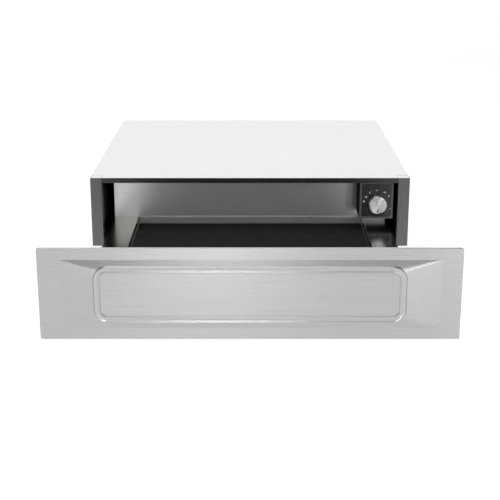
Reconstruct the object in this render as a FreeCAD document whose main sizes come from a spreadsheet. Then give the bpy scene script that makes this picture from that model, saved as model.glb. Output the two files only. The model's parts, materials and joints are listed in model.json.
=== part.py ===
import FreeCAD, Part
import math
import os

import Sketcher

# Warming drawer, shown open, in millimetres.
#
# Row frame: the origin is the centre of the housing's underside, +Z is up, the drawer
# opens towards -Y and +X is the side that carries the control box.  The drawer stands
# at full travel.  Each piece is one labelled object, and its label names its file.

DOCUMENT = FreeCAD.newDocument("warming_drawer")
SHEET = DOCUMENT.addObject("Spreadsheet::Sheet", "Dims")

DIMENSIONS = [
    # housing
    ("housing_width", 560.0, "outside width of the housing"),
    ("housing_depth", 550.0, "front frame to back face"),
    ("housing_height", 124.0, "underside to top face"),
    ("sheet", 1.0, "steel sheet of the housing and its liners"),
    ("post_width", 20.0, "visible width of a front post"),
    ("post_depth", 22.0, "how far a front post folds back"),
    ("rail_height", 9.0, "visible height of the front top rail"),
    ("lip_height", 4.0, "upturned front edge of the floor pan"),
    ("wall_flange", 14.0, "flange of a side wall that takes the rear cover's screws"),
    ("chamber_depth", 66.0, "bulkhead to the rear cover"),
    ("insulation_gap", 0.3, "air left round each insulation mat"),
    ("cover_screw_inset", 7.0, "inside of a side wall to the rear cover's screws"),
    ("vent_width", 4.0, "cooling slot in the rear cover"),
    ("vent_length", 44.0, "cooling slot in the rear cover"),
    ("vent_pitch", 10.0, "spacing of the cooling slots"),
    ("outlet_width", 5.0, "hot-air slot in the bulkhead"),
    ("outlet_length", 60.0, "hot-air slot in the bulkhead"),
    ("outlet_pitch", 13.0, "spacing of the hot-air slots"),
    ("outlet_inset", 90.0, "side liner to the outermost hot-air slot"),
    ("intake_inner", 9.0, "start of an intake slot from the fan axis"),
    ("intake_outer", 30.0, "end of an intake slot from the fan axis"),
    ("cabinet_hole_setback", 13.0, "front frame to the cabinet screws"),
    ("cabinet_hole_pitch", 80.0, "height between two cabinet screws"),
    ("cabinet_hole_radius", 2.25, "hole for a cabinet screw"),
    ("driver_hole_radius", 5.0, "hole that the screwdriver passes"),
    # feet
    ("foot_radius", 14.0, "foot where it meets the ground"),
    ("foot_top_radius", 11.0, "foot at its top"),
    ("foot_gap", 3.0, "foot below the housing when screwed in"),
    ("foot_sole", 3.0, "rubber left below the stud"),
    ("foot_inset", 28.0, "side of the housing to a foot's centre"),
    ("foot_setback", 59.0, "front frame to a front foot's centre"),
    ("foot_rear_setback", 45.0, "back face to a rear foot's centre"),
    ("stud_radius", 3.0, "threaded stud of a foot"),
    ("stud_rise", 5.5, "stud above the housing's underside"),
    ("stud_nut_radius", 5.5, "nut on a stud"),
    ("stud_nut_height", 3.8, "nut on a stud"),
    ("ground_gap", 2.0, "bottom edge of the front panel above the worktop"),
    # front panel
    ("panel_overlap", 18.5, "how far the front passes the housing at each side"),
    ("panel_drop", 11.0, "how far the front hangs below the housing"),
    ("panel_corner", 3.0, "corner radius of the front"),
    ("skin_sheet", 1.0, "stainless sheet of the front"),
    ("skin_return", 5.0, "folded edge of the front"),
    ("border_side", 29.0, "flat border at each end of the front"),
    ("border_end", 17.0, "flat border above and below"),
    ("facet_side", 49.0, "width of the slope at each end"),
    ("facet_end", 8.0, "height of the slope above and below"),
    ("relief_height", 4.0, "how far the field stands proud"),
    ("relief_corner", 0.5, "corner radius where the slopes begin"),
    ("field_corner", 15.0, "outer corner radius of the bead"),
    ("bead_width", 10.5, "width of the raised bead"),
    ("bead_height", 1.8, "height of the raised bead"),
    ("bead_round", 1.44, "rounding of the bead's crest"),
    ("backing_side_inset", 8.5, "end of the front to the backing"),
    ("backing_top_inset", 6.0, "top of the front to the backing"),
    ("backing_bottom_inset", 5.0, "bottom of the front to the backing"),
    ("backing_depth", 17.0, "depth of the backing tray"),
    ("backing_wool_gap", 3.0, "room for screw ends behind the backing"),
    ("seal_width", 5.0, "width of the silicone seal"),
    ("seal_thickness", 1.7, "thickness of the silicone seal"),
    ("seal_clearance", 0.3, "seal to front frame when shut"),
    ("seal_side_inset", 4.0, "side of the housing to the seal"),
    ("knob_dish_depth", 10.0, "hollow in the backing that clears the knob"),
    ("knob_dish_clearance", 6.5, "air round the knob in that hollow"),
    # drawer
    ("side_gap", 12.5, "drawer to side liner"),
    ("rear_gap", 3.0, "shut drawer to the bulkhead"),
    ("rim_level", 35.0, "top of the tray's side rims"),
    ("rim_width", 43.5, "width of a side rim"),
    ("recess_depth", 14.5, "rim down to the tray's floor"),
    ("recess_corner", 2.0, "corner radius of the recess"),
    ("tray_sheet", 1.0, "stainless sheet of the tray"),
    ("front_rim", 11.0, "flat rim at the tray's front"),
    ("rear_rim", 2.5, "flat rim at the tray's rear"),
    ("upstand_gap", 5.0, "top of the tray's front upstand to the knob"),
    ("skirt_clearance", 5.0, "tray skirt above the floor pan"),
    ("rear_wall_clearance", 17.0, "ceiling to the drawer's rear wall"),
    ("rear_wall_flange", 6.0, "folded top edge of the rear wall"),
    ("mat_thickness", 2.0, "silicone mat"),
    ("mat_clearance", 1.0, "air round the mat"),
    ("mat_corner", 4.0, "corner radius of the mat"),
    ("stiffener_offset", 80.0, "middle of the tray to a stiffener"),
    ("stiffener_width", 40.0, "width of a stiffener"),
    ("stiffener_depth", 10.0, "depth of a stiffener"),
    ("stiffener_inset", 30.0, "end of the tray to a stiffener"),
    ("front_screw_pitch", 80.0, "spacing of the screws that hold the front"),
    # telescopic slides
    ("slide_setback", 5.0, "front frame to the fixed member"),
    ("slide_rear_gap", 47.0, "fixed member to the bulkhead"),
    ("slide_keep", 30.0, "length of a member less the drawer's travel"),
    ("slide_height", 25.0, "height of the fixed member"),
    ("slide_thickness", 12.5, "bracket face to tray skirt"),
    ("slide_sheet", 1.2, "steel of the slide members"),
    ("slide_lap", 10.0, "depth of the fixed member's channel"),
    ("ball_radius", 1.15, "slide balls"),
    ("ball_play", 0.05, "air between a ball and its track"),
    ("cage_margin", 15.0, "end of two members' overlap to the ball cage"),
    ("cage_sheet", 0.6, "thickness of a ball cage"),
    ("cage_room", 1.8, "width left for a ball cage"),
    ("bracket_sheet", 1.5, "steel of the slide brackets"),
    ("bracket_foot", 18.0, "foot of a slide bracket on the floor pan"),
    ("bracket_setback", 10.0, "end of the slide to the end of its bracket"),
    ("rivet_inset", 54.0, "end of the slide to its outer rivets"),
    ("rivet_head_height", 1.1, "height of a rivet head"),
    # controls
    ("control_width", 59.0, "width of the control box"),
    ("control_height", 66.0, "height of the control box"),
    ("control_depth", 57.0, "depth of the control box"),
    ("control_inset", 7.5, "side liner to the control box"),
    ("fascia_recess", 6.0, "front frame to the control fascia"),
    ("fascia_thickness", 1.8, "fascia plate"),
    ("bezel_width", 3.5, "grey frame round the fascia"),
    ("bezel_thickness", 1.2, "grey frame over the fascia"),
    ("knob_radius", 15.5, "knob"),
    ("knob_depth", 11.5, "knob front above the fascia"),
    ("knob_gap", 0.6, "knob skirt above the fascia"),
    ("knob_front", 2.4, "thickness of the knob's front"),
    ("knob_skirt", 1.8, "thickness of the knob's skirt"),
    ("knob_hub", 6.0, "radius of the knob's hub"),
    ("knob_round", 1.2, "rounded front edge of the knob"),
    ("knob_offset", 1.75, "knob from the middle of the fascia"),
    ("knob_drop", 6.5, "knob below the middle of the fascia"),
    ("spindle_radius", 3.0, "thermostat spindle"),
    ("spindle_play", 0.05, "running clearance of spindles and shafts"),
    ("thermostat_size", 40.0, "side of the thermostat case"),
    ("thermostat_depth", 26.0, "depth of the thermostat case"),
    ("thermostat_corner", 3.0, "corner radius of the thermostat case"),
    ("port_play", 0.15, "air round what passes through a plate"),
    ("capillary_radius", 0.9, "capillary tube"),
    ("capillary_bend", 5.0, "bend of the capillary tube"),
    ("bulb_radius", 3.0, "thermostat bulb"),
    ("bulb_length", 80.0, "thermostat bulb"),
    ("bulb_drop", 8.0, "ceiling to the bulb's axis"),
    ("bulb_gap", 67.0, "bulb to the bulkhead"),
    ("clip_inset", 16.0, "end of the bulb to a clip"),
    ("clip_width", 3.0, "width of a clip along the bulb"),
    # hot air unit
    ("fan_ring_gap", 8.0, "impeller to the middle of the element's tube"),
    ("fan_blade_depth", 18.0, "impeller blades along the axis"),
    ("fan_hub", 7.5, "radius of the impeller's hub"),
    ("fan_setback", 5.0, "bulkhead to the impeller"),
    ("fan_shaft_radius", 3.0, "motor shaft"),
    ("plate_gap", 28.0, "bulkhead to the motor plate"),
    ("plate_width", 150.0, "motor plate"),
    ("plate_end_gap", 2.0, "motor plate to the floor pan and to the ceiling"),
    ("plate_bridge", 14.0, "sheet left above and below the plate's air way"),
    ("plate_rail", 4.0, "sheet left in front of and behind the air way"),
    ("plate_sheet", 1.2, "motor plate"),
    ("shaft_port_play", 1.6, "air round the shaft in the motor plate"),
    ("element_margin", 5.0, "edge of the motor plate to the middle of the tube"),
    ("element_tube", 3.2, "radius of the element's sheath"),
    ("element_gap_angle", 12.0, "half the opening of the ring, in degrees"),
    ("element_tail", 10.0, "element's legs behind the motor plate"),
    ("stator_width", 56.0, "motor laminations"),
    ("stator_limb", 8.0, "width of the laminations round their openings"),
    ("stator_depth", 18.0, "motor laminations"),
    ("rotor_radius", 13.6, "motor rotor"),
    ("rotor_gap", 0.4, "rotor to laminations"),
    ("coil_width", 31.0, "motor coil"),
    ("coil_spread", 4.8, "coil beyond the laminations"),
    ("coil_gap", 2.9, "coil to the element's legs"),
    ("bearing_width", 48.0, "bearing bridge"),
    ("bearing_front", 6.0, "motor plate to the laminations"),
    ("bearing_rear", 4.0, "thickness of the rear bearing bridge"),
    ("shaft_end", 6.0, "shaft behind the laminations"),
    ("cutout_offset", 50.0, "fan axis to the thermal cut-out, across"),
    ("cutout_rise", 27.5, "fan axis to the thermal cut-out, upwards"),
    ("cutout_radius", 9.0, "thermal cut-out"),
    ("cutout_depth", 5.0, "thermal cut-out"),
    ("tab_length", 8.0, "spade tab of the cut-out"),
    ("tab_width", 6.0, "spade tab of the cut-out"),
    ("tab_sheet", 0.8, "spade tab of the cut-out"),
    # electrics, latch and switch
    ("terminal_width", 44.0, "terminal block"),
    ("terminal_depth", 20.0, "terminal block"),
    ("terminal_height", 18.0, "terminal block"),
    ("terminal_pitch", 14.0, "spacing of the terminals"),
    ("terminal_well", 3.0, "radius of a terminal's well"),
    ("terminal_gap", 22.0, "cord gland's axis to the terminal block"),
    ("terminal_setback", 20.0, "bulkhead to the terminal block"),
    ("gland_inset", 50.0, "side of the housing to the cord gland"),
    ("gland_level", 30.0, "height of the cord gland"),
    ("gland_bore", 4.1, "radius of the cord's way in"),
    ("gland_shank", 8.0, "gland through the rear cover"),
    ("gland_flange", 11.0, "gland flange and nut"),
    ("gland_wall", 3.0, "thickness of the gland's flange and nut"),
    ("gland_inside", 6.0, "gland inside the rear cover"),
    ("gland_outside", 12.0, "gland outside the rear cover"),
    ("latch_gap", 32.0, "push latch to the bulkhead"),
    ("latch_length", 55.0, "push latch"),
    ("latch_width", 28.0, "push latch"),
    ("latch_height", 14.0, "push latch"),
    ("latch_stroke", 6.0, "travel of the latch plunger"),
    ("latch_reach", 12.0, "plunger ahead of the latch"),
    ("plunger_radius", 4.0, "latch plunger"),
    ("striker_width", 20.0, "striker under the tray"),
    ("striker_foot", 28.0, "striker's foot under the tray"),
    ("striker_sheet", 2.0, "thickness of the striker"),
    ("striker_gap", 1.0, "striker above the floor pan's front edge"),
    ("touch_gap", 0.5, "shut drawer to a plunger's tip"),
    ("switch_inset", 60.0, "side liner to the drawer switch"),
    ("switch_level", 60.0, "height of the drawer switch"),
    ("switch_width", 20.0, "drawer switch"),
    ("switch_height", 10.0, "drawer switch"),
    ("switch_depth", 20.0, "drawer switch"),
    ("switch_button", 2.5, "radius of the switch button"),
    ("switch_stroke", 3.0, "travel of the switch button"),
    # screws
    ("screw_radius", 1.9, "shank of the sheet-metal screws"),
    ("screw_play", 0.1, "shank to its hole"),
    ("screw_head", 3.6, "radius of a screw head"),
    ("screw_head_height", 2.2, "height of a screw head"),
    ("screw_length", 6.0, "rear cover's screws below the head"),
]


class Size:
    """A length or angle that carries its value and the expression that gives it."""

    def __init__(self, text, value):
        self.text = text
        self.value = value

    def _join(self, sign, other, value, swap=False):
        other_text = other.text if isinstance(other, Size) else repr(float(other))
        first, second = (other_text, self.text) if swap else (self.text, other_text)
        return Size(f"({first} {sign} {second})", value)

    def __add__(self, other):
        return self._join("+", other, self.value + plain(other))

    def __radd__(self, other):
        return self._join("+", other, self.value + plain(other), swap=True)

    def __sub__(self, other):
        return self._join("-", other, self.value - plain(other))

    def __rsub__(self, other):
        return self._join("-", other, plain(other) - self.value, swap=True)

    def __mul__(self, other):
        return self._join("*", other, self.value * plain(other))

    def __rmul__(self, other):
        return self._join("*", other, self.value * plain(other), swap=True)

    def __truediv__(self, other):
        return self._join("/", other, self.value / plain(other))

    def __neg__(self):
        return Size(f"(0 - {self.text})", -self.value)


def plain(value):
    """The bare number behind a Size or a number."""
    return value.value if isinstance(value, Size) else float(value)


def size_of(value):
    """Any number as a Size."""
    return value if isinstance(value, Size) else Size(repr(float(value)), float(value))


class Dimensions:
    """Every driving dimension, as an attribute of its own name."""

    def __init__(self, rows):
        for number, (alias, value, meaning) in enumerate(rows, start=1):
            SHEET.set(f"A{number}", meaning)
            SHEET.set(f"B{number}", str(value))
            SHEET.setAlias(f"B{number}", alias)
            setattr(self, alias, Size(f"{SHEET.Name}.{alias}", value))
        DOCUMENT.recompute()


d = Dimensions(DIMENSIONS)
PIECES = []
LEFT, RIGHT = -1, 1
VENT_SLOTS = 12
OUTLET_SLOTS = 6
INTAKE_SLOTS = 12
FAN_BLADES = 12
BALLS_IN_ROW = 6
TERMINALS = 3
FRONT_SCREWS = 6
COVER_SCREW_LEVELS = 3
BLADE_START = 0.55  # inner edge of a fan blade, as a share of the fan's radius
SLOT_ROUND = 0.4  # corner radius of a slot, as a share of its width


# ---------------------------------------------------------------- drawing tools

def bind(thing, prop, value):
    """Tie a property to a dimension."""
    thing.setExpression(prop, size_of(value).text)


def ordered(first, second, side):
    """A span along X for the right side, mirrored for the left."""
    return (first * side, second * side) if side == RIGHT else (second * side, first * side)


def rectangle(left, right, low, high):
    """Corners of a rectangle."""
    return [(left, low), (right, low), (right, high), (left, high)]


class Circle:
    """A round outline."""

    def __init__(self, across, up, radius):
        self.across, self.up, self.radius = across, up, radius


class RoundedRectangle:
    """A rectangle whose corners are arcs."""

    def __init__(self, left, right, low, high, radius):
        self.left, self.right, self.low, self.high = left, right, low, high
        self.radius = radius


class Outline:
    """Adds closed loops to a sketch, each point tied to the dimensions."""

    def __init__(self, sketch):
        self.sketch = sketch

    def pin(self, geometry, vertex, across, up):
        """Hold a point at its two coordinates."""
        for kind, value in (("DistanceX", across), ("DistanceY", up)):
            rule = Sketcher.Constraint(kind, -1, 1, geometry, vertex, plain(value))
            index = self.sketch.addConstraint(rule)
            bind(self.sketch, f"Constraints[{index}]", value)

    def meet(self, first, second):
        """Join the end of one edge to the start of the next."""
        self.sketch.addConstraint(Sketcher.Constraint("Coincident", first, 2, second, 1))

    def line(self, start, end):
        """Add a straight edge and give its number."""
        ends = [FreeCAD.Vector(plain(point[0]), plain(point[1]), 0) for point in (start, end)]
        return self.sketch.addGeometry(Part.LineSegment(*ends), False)

    def polygon(self, points):
        """A closed loop of straight edges."""
        following = points[1:] + points[:1]
        edges = [self.line(start, end) for start, end in zip(points, following)]
        for edge, after, point in zip(edges, edges[1:] + edges[:1], points):
            self.meet(edge, after)
            self.pin(edge, 1, *point)

    def circle(self, loop):
        """A full circle."""
        centre = FreeCAD.Vector(plain(loop.across), plain(loop.up), 0)
        ring = Part.Circle(centre, FreeCAD.Vector(0, 0, 1), plain(loop.radius))
        edge = self.sketch.addGeometry(ring, False)
        self.pin(edge, 3, loop.across, loop.up)
        index = self.sketch.addConstraint(
            Sketcher.Constraint("Radius", edge, plain(loop.radius)))
        bind(self.sketch, f"Constraints[{index}]", loop.radius)

    def rounded(self, loop):
        """A rectangle with an arc at each corner, run anticlockwise."""
        corners = [
            (loop.left, loop.low, 1, 1),
            (loop.right, loop.low, -1, 1),
            (loop.right, loop.high, -1, -1),
            (loop.left, loop.high, 1, -1),
        ]
        edges = []
        for turn, (across, up, inward, rise) in enumerate(corners):
            centre_across = across + loop.radius * inward
            centre_up = up + loop.radius * rise
            centre = FreeCAD.Vector(plain(centre_across), plain(centre_up), 0)
            start = math.pi * (1 + turn / 2)
            ring = Part.Circle(centre, FreeCAD.Vector(0, 0, 1), plain(loop.radius))
            arc = self.sketch.addGeometry(
                Part.ArcOfCircle(ring, start, start + math.pi / 2), False)
            along_first = (across, centre_up) if turn % 2 == 0 else (centre_across, up)
            along_second = (centre_across, up) if turn % 2 == 0 else (across, centre_up)
            edges.append((arc, along_first, along_second, centre_across))
        for corner, after in zip(edges, edges[1:] + edges[:1]):
            side = self.line(corner[2], after[1])
            self.pin(corner[0], 1, *corner[1])
            self.pin(corner[0], 2, *corner[2])
            index = self.sketch.addConstraint(
                Sketcher.Constraint("DistanceX", -1, 1, corner[0], 3, plain(corner[3])))
            bind(self.sketch, f"Constraints[{index}]", corner[3])
            self.meet(corner[0], side)
            self.meet(side, after[0])

    def add(self, loop):
        """Add whichever kind of loop this is."""
        if isinstance(loop, Circle):
            self.circle(loop)
        elif isinstance(loop, RoundedRectangle):
            self.rounded(loop)
        else:
            self.polygon(loop)


class Body:
    """One piece as a PartDesign body.

    Pads and pockets are drawn on the XY, XZ or YZ plane and span two levels along the
    axis that the plane leaves out.
    """

    def __init__(self, label, level=0, across=0):
        self.body = DOCUMENT.addObject("PartDesign::Body", label)
        self.body.Label = label
        bind(self.body, "Placement.Base.z", level)
        bind(self.body, "Placement.Base.x", across)
        PIECES.append(self.body)

    def plane(self, role):
        """The body's own origin plane."""
        for feature in self.body.Origin.OriginFeatures:
            if feature.Role == f"{role}_Plane":
                return feature
        raise LookupError(role)

    def sketch(self, role, level, loops):
        """A sketch on an origin plane, moved to a level."""
        sketch = self.body.newObject("Sketcher::SketchObject", f"{self.body.Name}_sketch")
        sketch.AttachmentSupport = [(self.plane(role), "")]
        sketch.MapMode = "FlatFace"
        bind(sketch, "AttachmentOffset.Base.z", -level if role == "XZ" else level)
        outline = Outline(sketch)
        for loop in loops:
            outline.add(loop)
        return sketch

    def pad(self, role, low, high, *loops):
        """Add material between two levels."""
        low, high = size_of(low), size_of(high)
        pad = self.body.newObject("PartDesign::Pad", f"{self.body.Name}_pad")
        pad.Profile = self.sketch(role, high if role == "XZ" else low, loops)
        bind(pad, "Length", high - low)
        return self.finish(pad)

    def pocket(self, role, low, high, *loops):
        """Take material away between two levels."""
        low, high = size_of(low), size_of(high)
        pocket = self.body.newObject("PartDesign::Pocket", f"{self.body.Name}_pocket")
        pocket.Profile = self.sketch(role, low if role == "XZ" else high, loops)
        bind(pocket, "Length", high - low)
        return self.finish(pocket)

    def turned(self, kind, role, axis, loop):
        """A revolution or groove of a loop about one of the sketch's own axes."""
        turned = self.body.newObject(f"PartDesign::{kind}", f"{self.body.Name}_{kind}")
        turned.Profile = self.sketch(role, size_of(0), [loop])
        turned.ReferenceAxis = (turned.Profile[0], [axis])
        return self.finish(turned)

    def loft(self, kind, role, sections):
        """A straight loft through (level, loop) sections."""
        sketches = [self.sketch(role, level, [loop]) for level, loop in sections]
        loft = self.body.newObject(f"PartDesign::{kind}", f"{self.body.Name}_{kind}")
        loft.Profile = sketches[0]
        loft.Sections = sketches[1:]
        loft.Ruled = True
        return self.finish(loft)

    def row(self, feature, axis, length, count):
        """Repeat a feature in a straight row."""
        row = self.body.newObject("PartDesign::LinearPattern", f"{self.body.Name}_row")
        row.Originals = [feature]
        row.Direction = (feature.Profile[0], [axis])
        bind(row, "Length", length)
        row.Occurrences = count
        return self.finish(row)

    def ring(self, feature, axis_role, count):
        """Repeat a feature round one of the body's own axes."""
        ring = self.body.newObject("PartDesign::PolarPattern", f"{self.body.Name}_ring")
        ring.Originals = [feature]
        for part in self.body.Origin.OriginFeatures:
            if part.Role == f"{axis_role}_Axis":
                ring.Axis = (part, [""])
        ring.Angle = 360
        ring.Occurrences = count
        return self.finish(ring)

    def round_edges(self, radius, chosen):
        """Fillet every edge of the last feature that passes a test."""
        base = self.body.Tip
        names = [f"Edge{number}" for number, edge in enumerate(base.Shape.Edges, start=1)
                 if chosen(edge)]
        fillet = self.body.newObject("PartDesign::Fillet", f"{self.body.Name}_fillet")
        fillet.Base = (base, names)
        bind(fillet, "Radius", radius)
        return self.finish(fillet)

    def finish(self, feature):
        """Make a feature the tip and work it out."""
        self.body.Tip = feature
        DOCUMENT.recompute()
        return feature


AXIS_TURNS = {
    "x": FreeCAD.Rotation(FreeCAD.Vector(0, 1, 0), 90),
    "y": FreeCAD.Rotation(FreeCAD.Vector(1, 0, 0), -90),
    "z": FreeCAD.Rotation(),
}


def place(thing, across, along, up):
    """Tie an object's position to the dimensions."""
    for axis, value in zip("xyz", (across, along, up)):
        bind(thing, f"Placement.Base.{axis}", value)


def cylinder(axis, start, radius, length):
    """A cylinder from its start point along +X, +Y or +Z."""
    rod = DOCUMENT.addObject("Part::Cylinder", "rod")
    rod.Placement = FreeCAD.Placement(FreeCAD.Vector(), AXIS_TURNS[axis])
    place(rod, *start)
    bind(rod, "Radius", radius)
    bind(rod, "Height", length)
    return rod


def block(across, along, up):
    """A box between three (low, high) spans."""
    box = DOCUMENT.addObject("Part::Box", "block")
    for prop, (low, high) in zip(("Length", "Width", "Height"), (across, along, up)):
        bind(box, prop, high - low)
    place(box, across[0], along[0], up[0])
    return box


def fuse(shapes):
    """One solid made of several."""
    joined = DOCUMENT.addObject("Part::MultiFuse", "joined")
    joined.Shapes = shapes
    return joined


def cut(base, tool):
    """One shape less another."""
    result = DOCUMENT.addObject("Part::Cut", "cut")
    result.Base, result.Tool = base, tool
    return result


def group(label, solids):
    """Separate solids that share one node."""
    if len(solids) == 1:
        node = solids[0]
    else:
        node = DOCUMENT.addObject("Part::Compound", label)
        node.Links = solids
    node.Label = label
    PIECES.append(node)
    return node


# ---------------------------------------------------------------- derived places

half_width = d.housing_width / 2
front_plane = -d.housing_depth / 2
back_plane = d.housing_depth / 2
cover_face = back_plane - d.sheet
post_back = front_plane + d.post_depth
bay_half = half_width - d.post_width
liner_half = bay_half + d.sheet
wall_inside = half_width - d.sheet
ceiling = d.housing_height - d.rail_height
bulkhead_back = cover_face - d.chamber_depth
bulkhead_face = bulkhead_back - d.sheet
under_top = d.housing_height - d.sheet

slide_rest = front_plane + d.slide_setback
slide_length = bulkhead_face - d.slide_rear_gap - slide_rest
travel = slide_length - d.slide_keep

panel_half = half_width + d.panel_overlap
panel_bottom = -d.panel_drop
panel_top = d.housing_height
panel_thickness = d.skin_sheet + d.backing_depth + d.seal_thickness + d.seal_clearance
panel_face = front_plane - panel_thickness - travel
skin_back = panel_face + d.skin_sheet
backing_back = skin_back + d.backing_depth
backing_half = panel_half - d.backing_side_inset
backing_top = panel_top - d.backing_top_inset
backing_bottom = panel_bottom + d.backing_bottom_inset

drawer_half = bay_half - d.side_gap
skirt_inside = drawer_half - d.tray_sheet
skirt_bottom = d.sheet + d.skirt_clearance
recess_half = drawer_half - d.rim_width
recess_floor = d.rim_level - d.recess_depth
tray_under = recess_floor - d.tray_sheet
tray_front = backing_back
tray_back = bulkhead_face - d.rear_gap - d.rear_wall_flange - d.tray_sheet - travel
recess_front = tray_front + d.front_rim
recess_back = tray_back - d.rear_rim
rear_wall_back = tray_back + d.tray_sheet
rear_wall_top = ceiling - d.rear_wall_clearance

control_right = bay_half - d.control_inset
control_left = control_right - d.control_width
control_bottom = ceiling - d.control_height
bezel_face = front_plane + d.fascia_recess
fascia_face = bezel_face + d.bezel_thickness
fascia_back = fascia_face + d.fascia_thickness
control_back = bezel_face + d.control_depth
knob_across = (control_left + control_right) / 2 + d.knob_offset
knob_level = control_bottom + d.control_height / 2 - d.knob_drop
bulb_level = ceiling - d.bulb_drop
upstand_top = knob_level - d.knob_radius - d.upstand_gap
front_screw_level = (d.rim_level + upstand_top) / 2

fan_level = (d.sheet + ceiling) / 2
fan_front = bulkhead_back + d.fan_setback
plate_face = bulkhead_back + d.plate_gap
plate_back = plate_face + d.plate_sheet
plate_tall = fan_level - d.sheet - d.plate_end_gap
element_radius = plate_tall - d.element_margin
fan_radius = element_radius - d.fan_ring_gap
gland_across = half_width - d.gland_inset
switch_across = d.switch_inset - bay_half
hole_radius = d.screw_radius + d.screw_play
stud_hole_radius = d.stud_radius + d.screw_play
origin = size_of(0)

cover_screw_across = wall_inside - d.cover_screw_inset
cover_screw_levels = [d.housing_height * ((number + 0.5) / COVER_SCREW_LEVELS)
                      for number in range(COVER_SCREW_LEVELS)]
front_screw_places = [d.front_screw_pitch * (number - (FRONT_SCREWS - 1) / 2)
                      for number in range(FRONT_SCREWS)]


# ---------------------------------------------------------------- housing

def floor_pan():
    """Base sheet with an upturned front edge between the posts."""
    pan = Body("floor_pan")
    pan.pad("XY", 0, d.sheet, [
        (-bay_half, front_plane), (bay_half, front_plane), (bay_half, post_back),
        (wall_inside, post_back), (wall_inside, cover_face), (-wall_inside, cover_face),
        (-wall_inside, post_back), (-bay_half, post_back)])
    pan.pad("XY", d.sheet, d.lip_height,
            rectangle(-bay_half, bay_half, front_plane, front_plane + d.sheet))
    holes = [Circle(across, along, stud_hole_radius) for across, along in foot_places()]
    holes += [Circle(across, along, hole_radius) for across, along in rivet_places()]
    pan.pocket("XY", 0, d.sheet, *holes)


def foot_places():
    """Centres of the four feet."""
    return [(side * (half_width - d.foot_inset), along)
            for side in (LEFT, RIGHT)
            for along in (front_plane + d.foot_setback, back_plane - d.foot_rear_setback)]


def feet():
    """Four moulded feet on threaded studs, each stud with a nut above the floor pan."""
    ground = -d.panel_drop - d.ground_gap
    foot_top = -d.foot_gap
    stud_low = ground + d.foot_sole
    solids, studs = [], []
    for across, along in foot_places():
        cone = DOCUMENT.addObject("Part::Cone", "foot")
        place(cone, across, along, ground)
        bind(cone, "Radius1", d.foot_radius)
        bind(cone, "Radius2", d.foot_top_radius)
        bind(cone, "Height", foot_top - ground)
        socket = cylinder("z", (across, along, stud_low), d.stud_radius,
                          foot_top - stud_low)
        solids.append(cut(cone, socket))
        stud = cylinder("z", (across, along, stud_low), d.stud_radius,
                        d.stud_rise - stud_low)
        nut = cylinder("z", (across, along, d.sheet), d.stud_nut_radius,
                       d.stud_nut_height)
        studs.append(fuse([stud, nut]))
    group("feet", solids)
    group("foot_studs", studs)


def side_wall(name, side):
    """Outer side sheet with a rear flange for the cover's screws."""
    wall = Body(name)
    flange_edge = (wall_inside - d.wall_flange) * side
    wall.pad("XY", 0, under_top, [
        (half_width * side, post_back), (half_width * side, cover_face),
        (flange_edge, cover_face), (flange_edge, cover_face - d.sheet),
        (wall_inside * side, cover_face - d.sheet), (wall_inside * side, post_back)])
    # the flange stops above the floor pan, and its three screw holes follow
    wall.pocket("XY", 0, d.sheet, rectangle(
        *ordered(wall_inside - d.wall_flange, wall_inside, side),
        cover_face - d.sheet, cover_face))
    wall.pocket("XZ", cover_face - d.sheet, cover_face,
                *[Circle(side * cover_screw_across, up, hole_radius)
                  for up in cover_screw_levels])


def top_cover():
    """Flat sheet that closes the housing from above."""
    cover = Body("top_cover")
    cover.pad("XY", under_top, d.housing_height,
              rectangle(-half_width, half_width, post_back, cover_face))


def rear_cover():
    """Back sheet with cooling slots, the cord gland's hole and six screw holes."""
    cover = Body("rear_cover")
    cover.pad("XZ", cover_face, back_plane,
              rectangle(-half_width, half_width, 0, d.housing_height))
    cover.pocket("XZ", cover_face, back_plane,
                 Circle(gland_across, d.gland_level, d.gland_shank + d.screw_play),
                 *[Circle(side * cover_screw_across, up, hole_radius)
                   for side in (LEFT, RIGHT) for up in cover_screw_levels])
    run = d.vent_pitch * (VENT_SLOTS - 1)
    first = -run / 2 - d.vent_width / 2
    low = fan_level - d.vent_length / 2
    slot = cover.pocket("XZ", cover_face, back_plane, RoundedRectangle(
        first, first + d.vent_width, low, low + d.vent_length, d.vent_width * SLOT_ROUND))
    cover.row(slot, "H_Axis", run, VENT_SLOTS)


def front_post(name, side):
    """Folded front post with holes for the cabinet screws."""
    post = Body(name)
    inner, outer = bay_half * side, half_width * side
    inner_face, outer_face = liner_half * side, wall_inside * side
    post.pad("XY", 0, d.housing_height, [
        (inner, front_plane), (outer, front_plane), (outer, post_back),
        (outer_face, post_back), (outer_face, front_plane + d.sheet),
        (inner_face, front_plane + d.sheet), (inner_face, post_back), (inner, post_back)])
    along = front_plane + d.cabinet_hole_setback
    levels = [d.housing_height / 2 + turn * d.cabinet_hole_pitch / 2 for turn in (-1, 1)]
    post.pocket("YZ", *ordered(wall_inside, half_width, side),
                *[Circle(along, up, d.cabinet_hole_radius) for up in levels])
    post.pocket("YZ", *ordered(bay_half, liner_half, side),
                *[Circle(along, up, d.driver_hole_radius) for up in levels])


def front_top_rail():
    """Folded rail between the posts."""
    rail = Body("front_top_rail")
    rail.pad("YZ", -bay_half, bay_half, [
        (front_plane, ceiling), (post_back, ceiling), (post_back, ceiling + d.sheet),
        (front_plane + d.sheet, ceiling + d.sheet), (front_plane + d.sheet, under_top),
        (post_back, under_top), (post_back, d.housing_height),
        (front_plane, d.housing_height)])


def inner_liner():
    """Folded sheet that forms both sides and the ceiling of the bay."""
    liner = Body("inner_liner")
    liner.pad("XZ", post_back, bulkhead_back, [
        (-liner_half, d.sheet), (-bay_half, d.sheet), (-bay_half, ceiling),
        (bay_half, ceiling), (bay_half, d.sheet), (liner_half, d.sheet),
        (liner_half, ceiling + d.sheet), (-liner_half, ceiling + d.sheet)])


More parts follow.
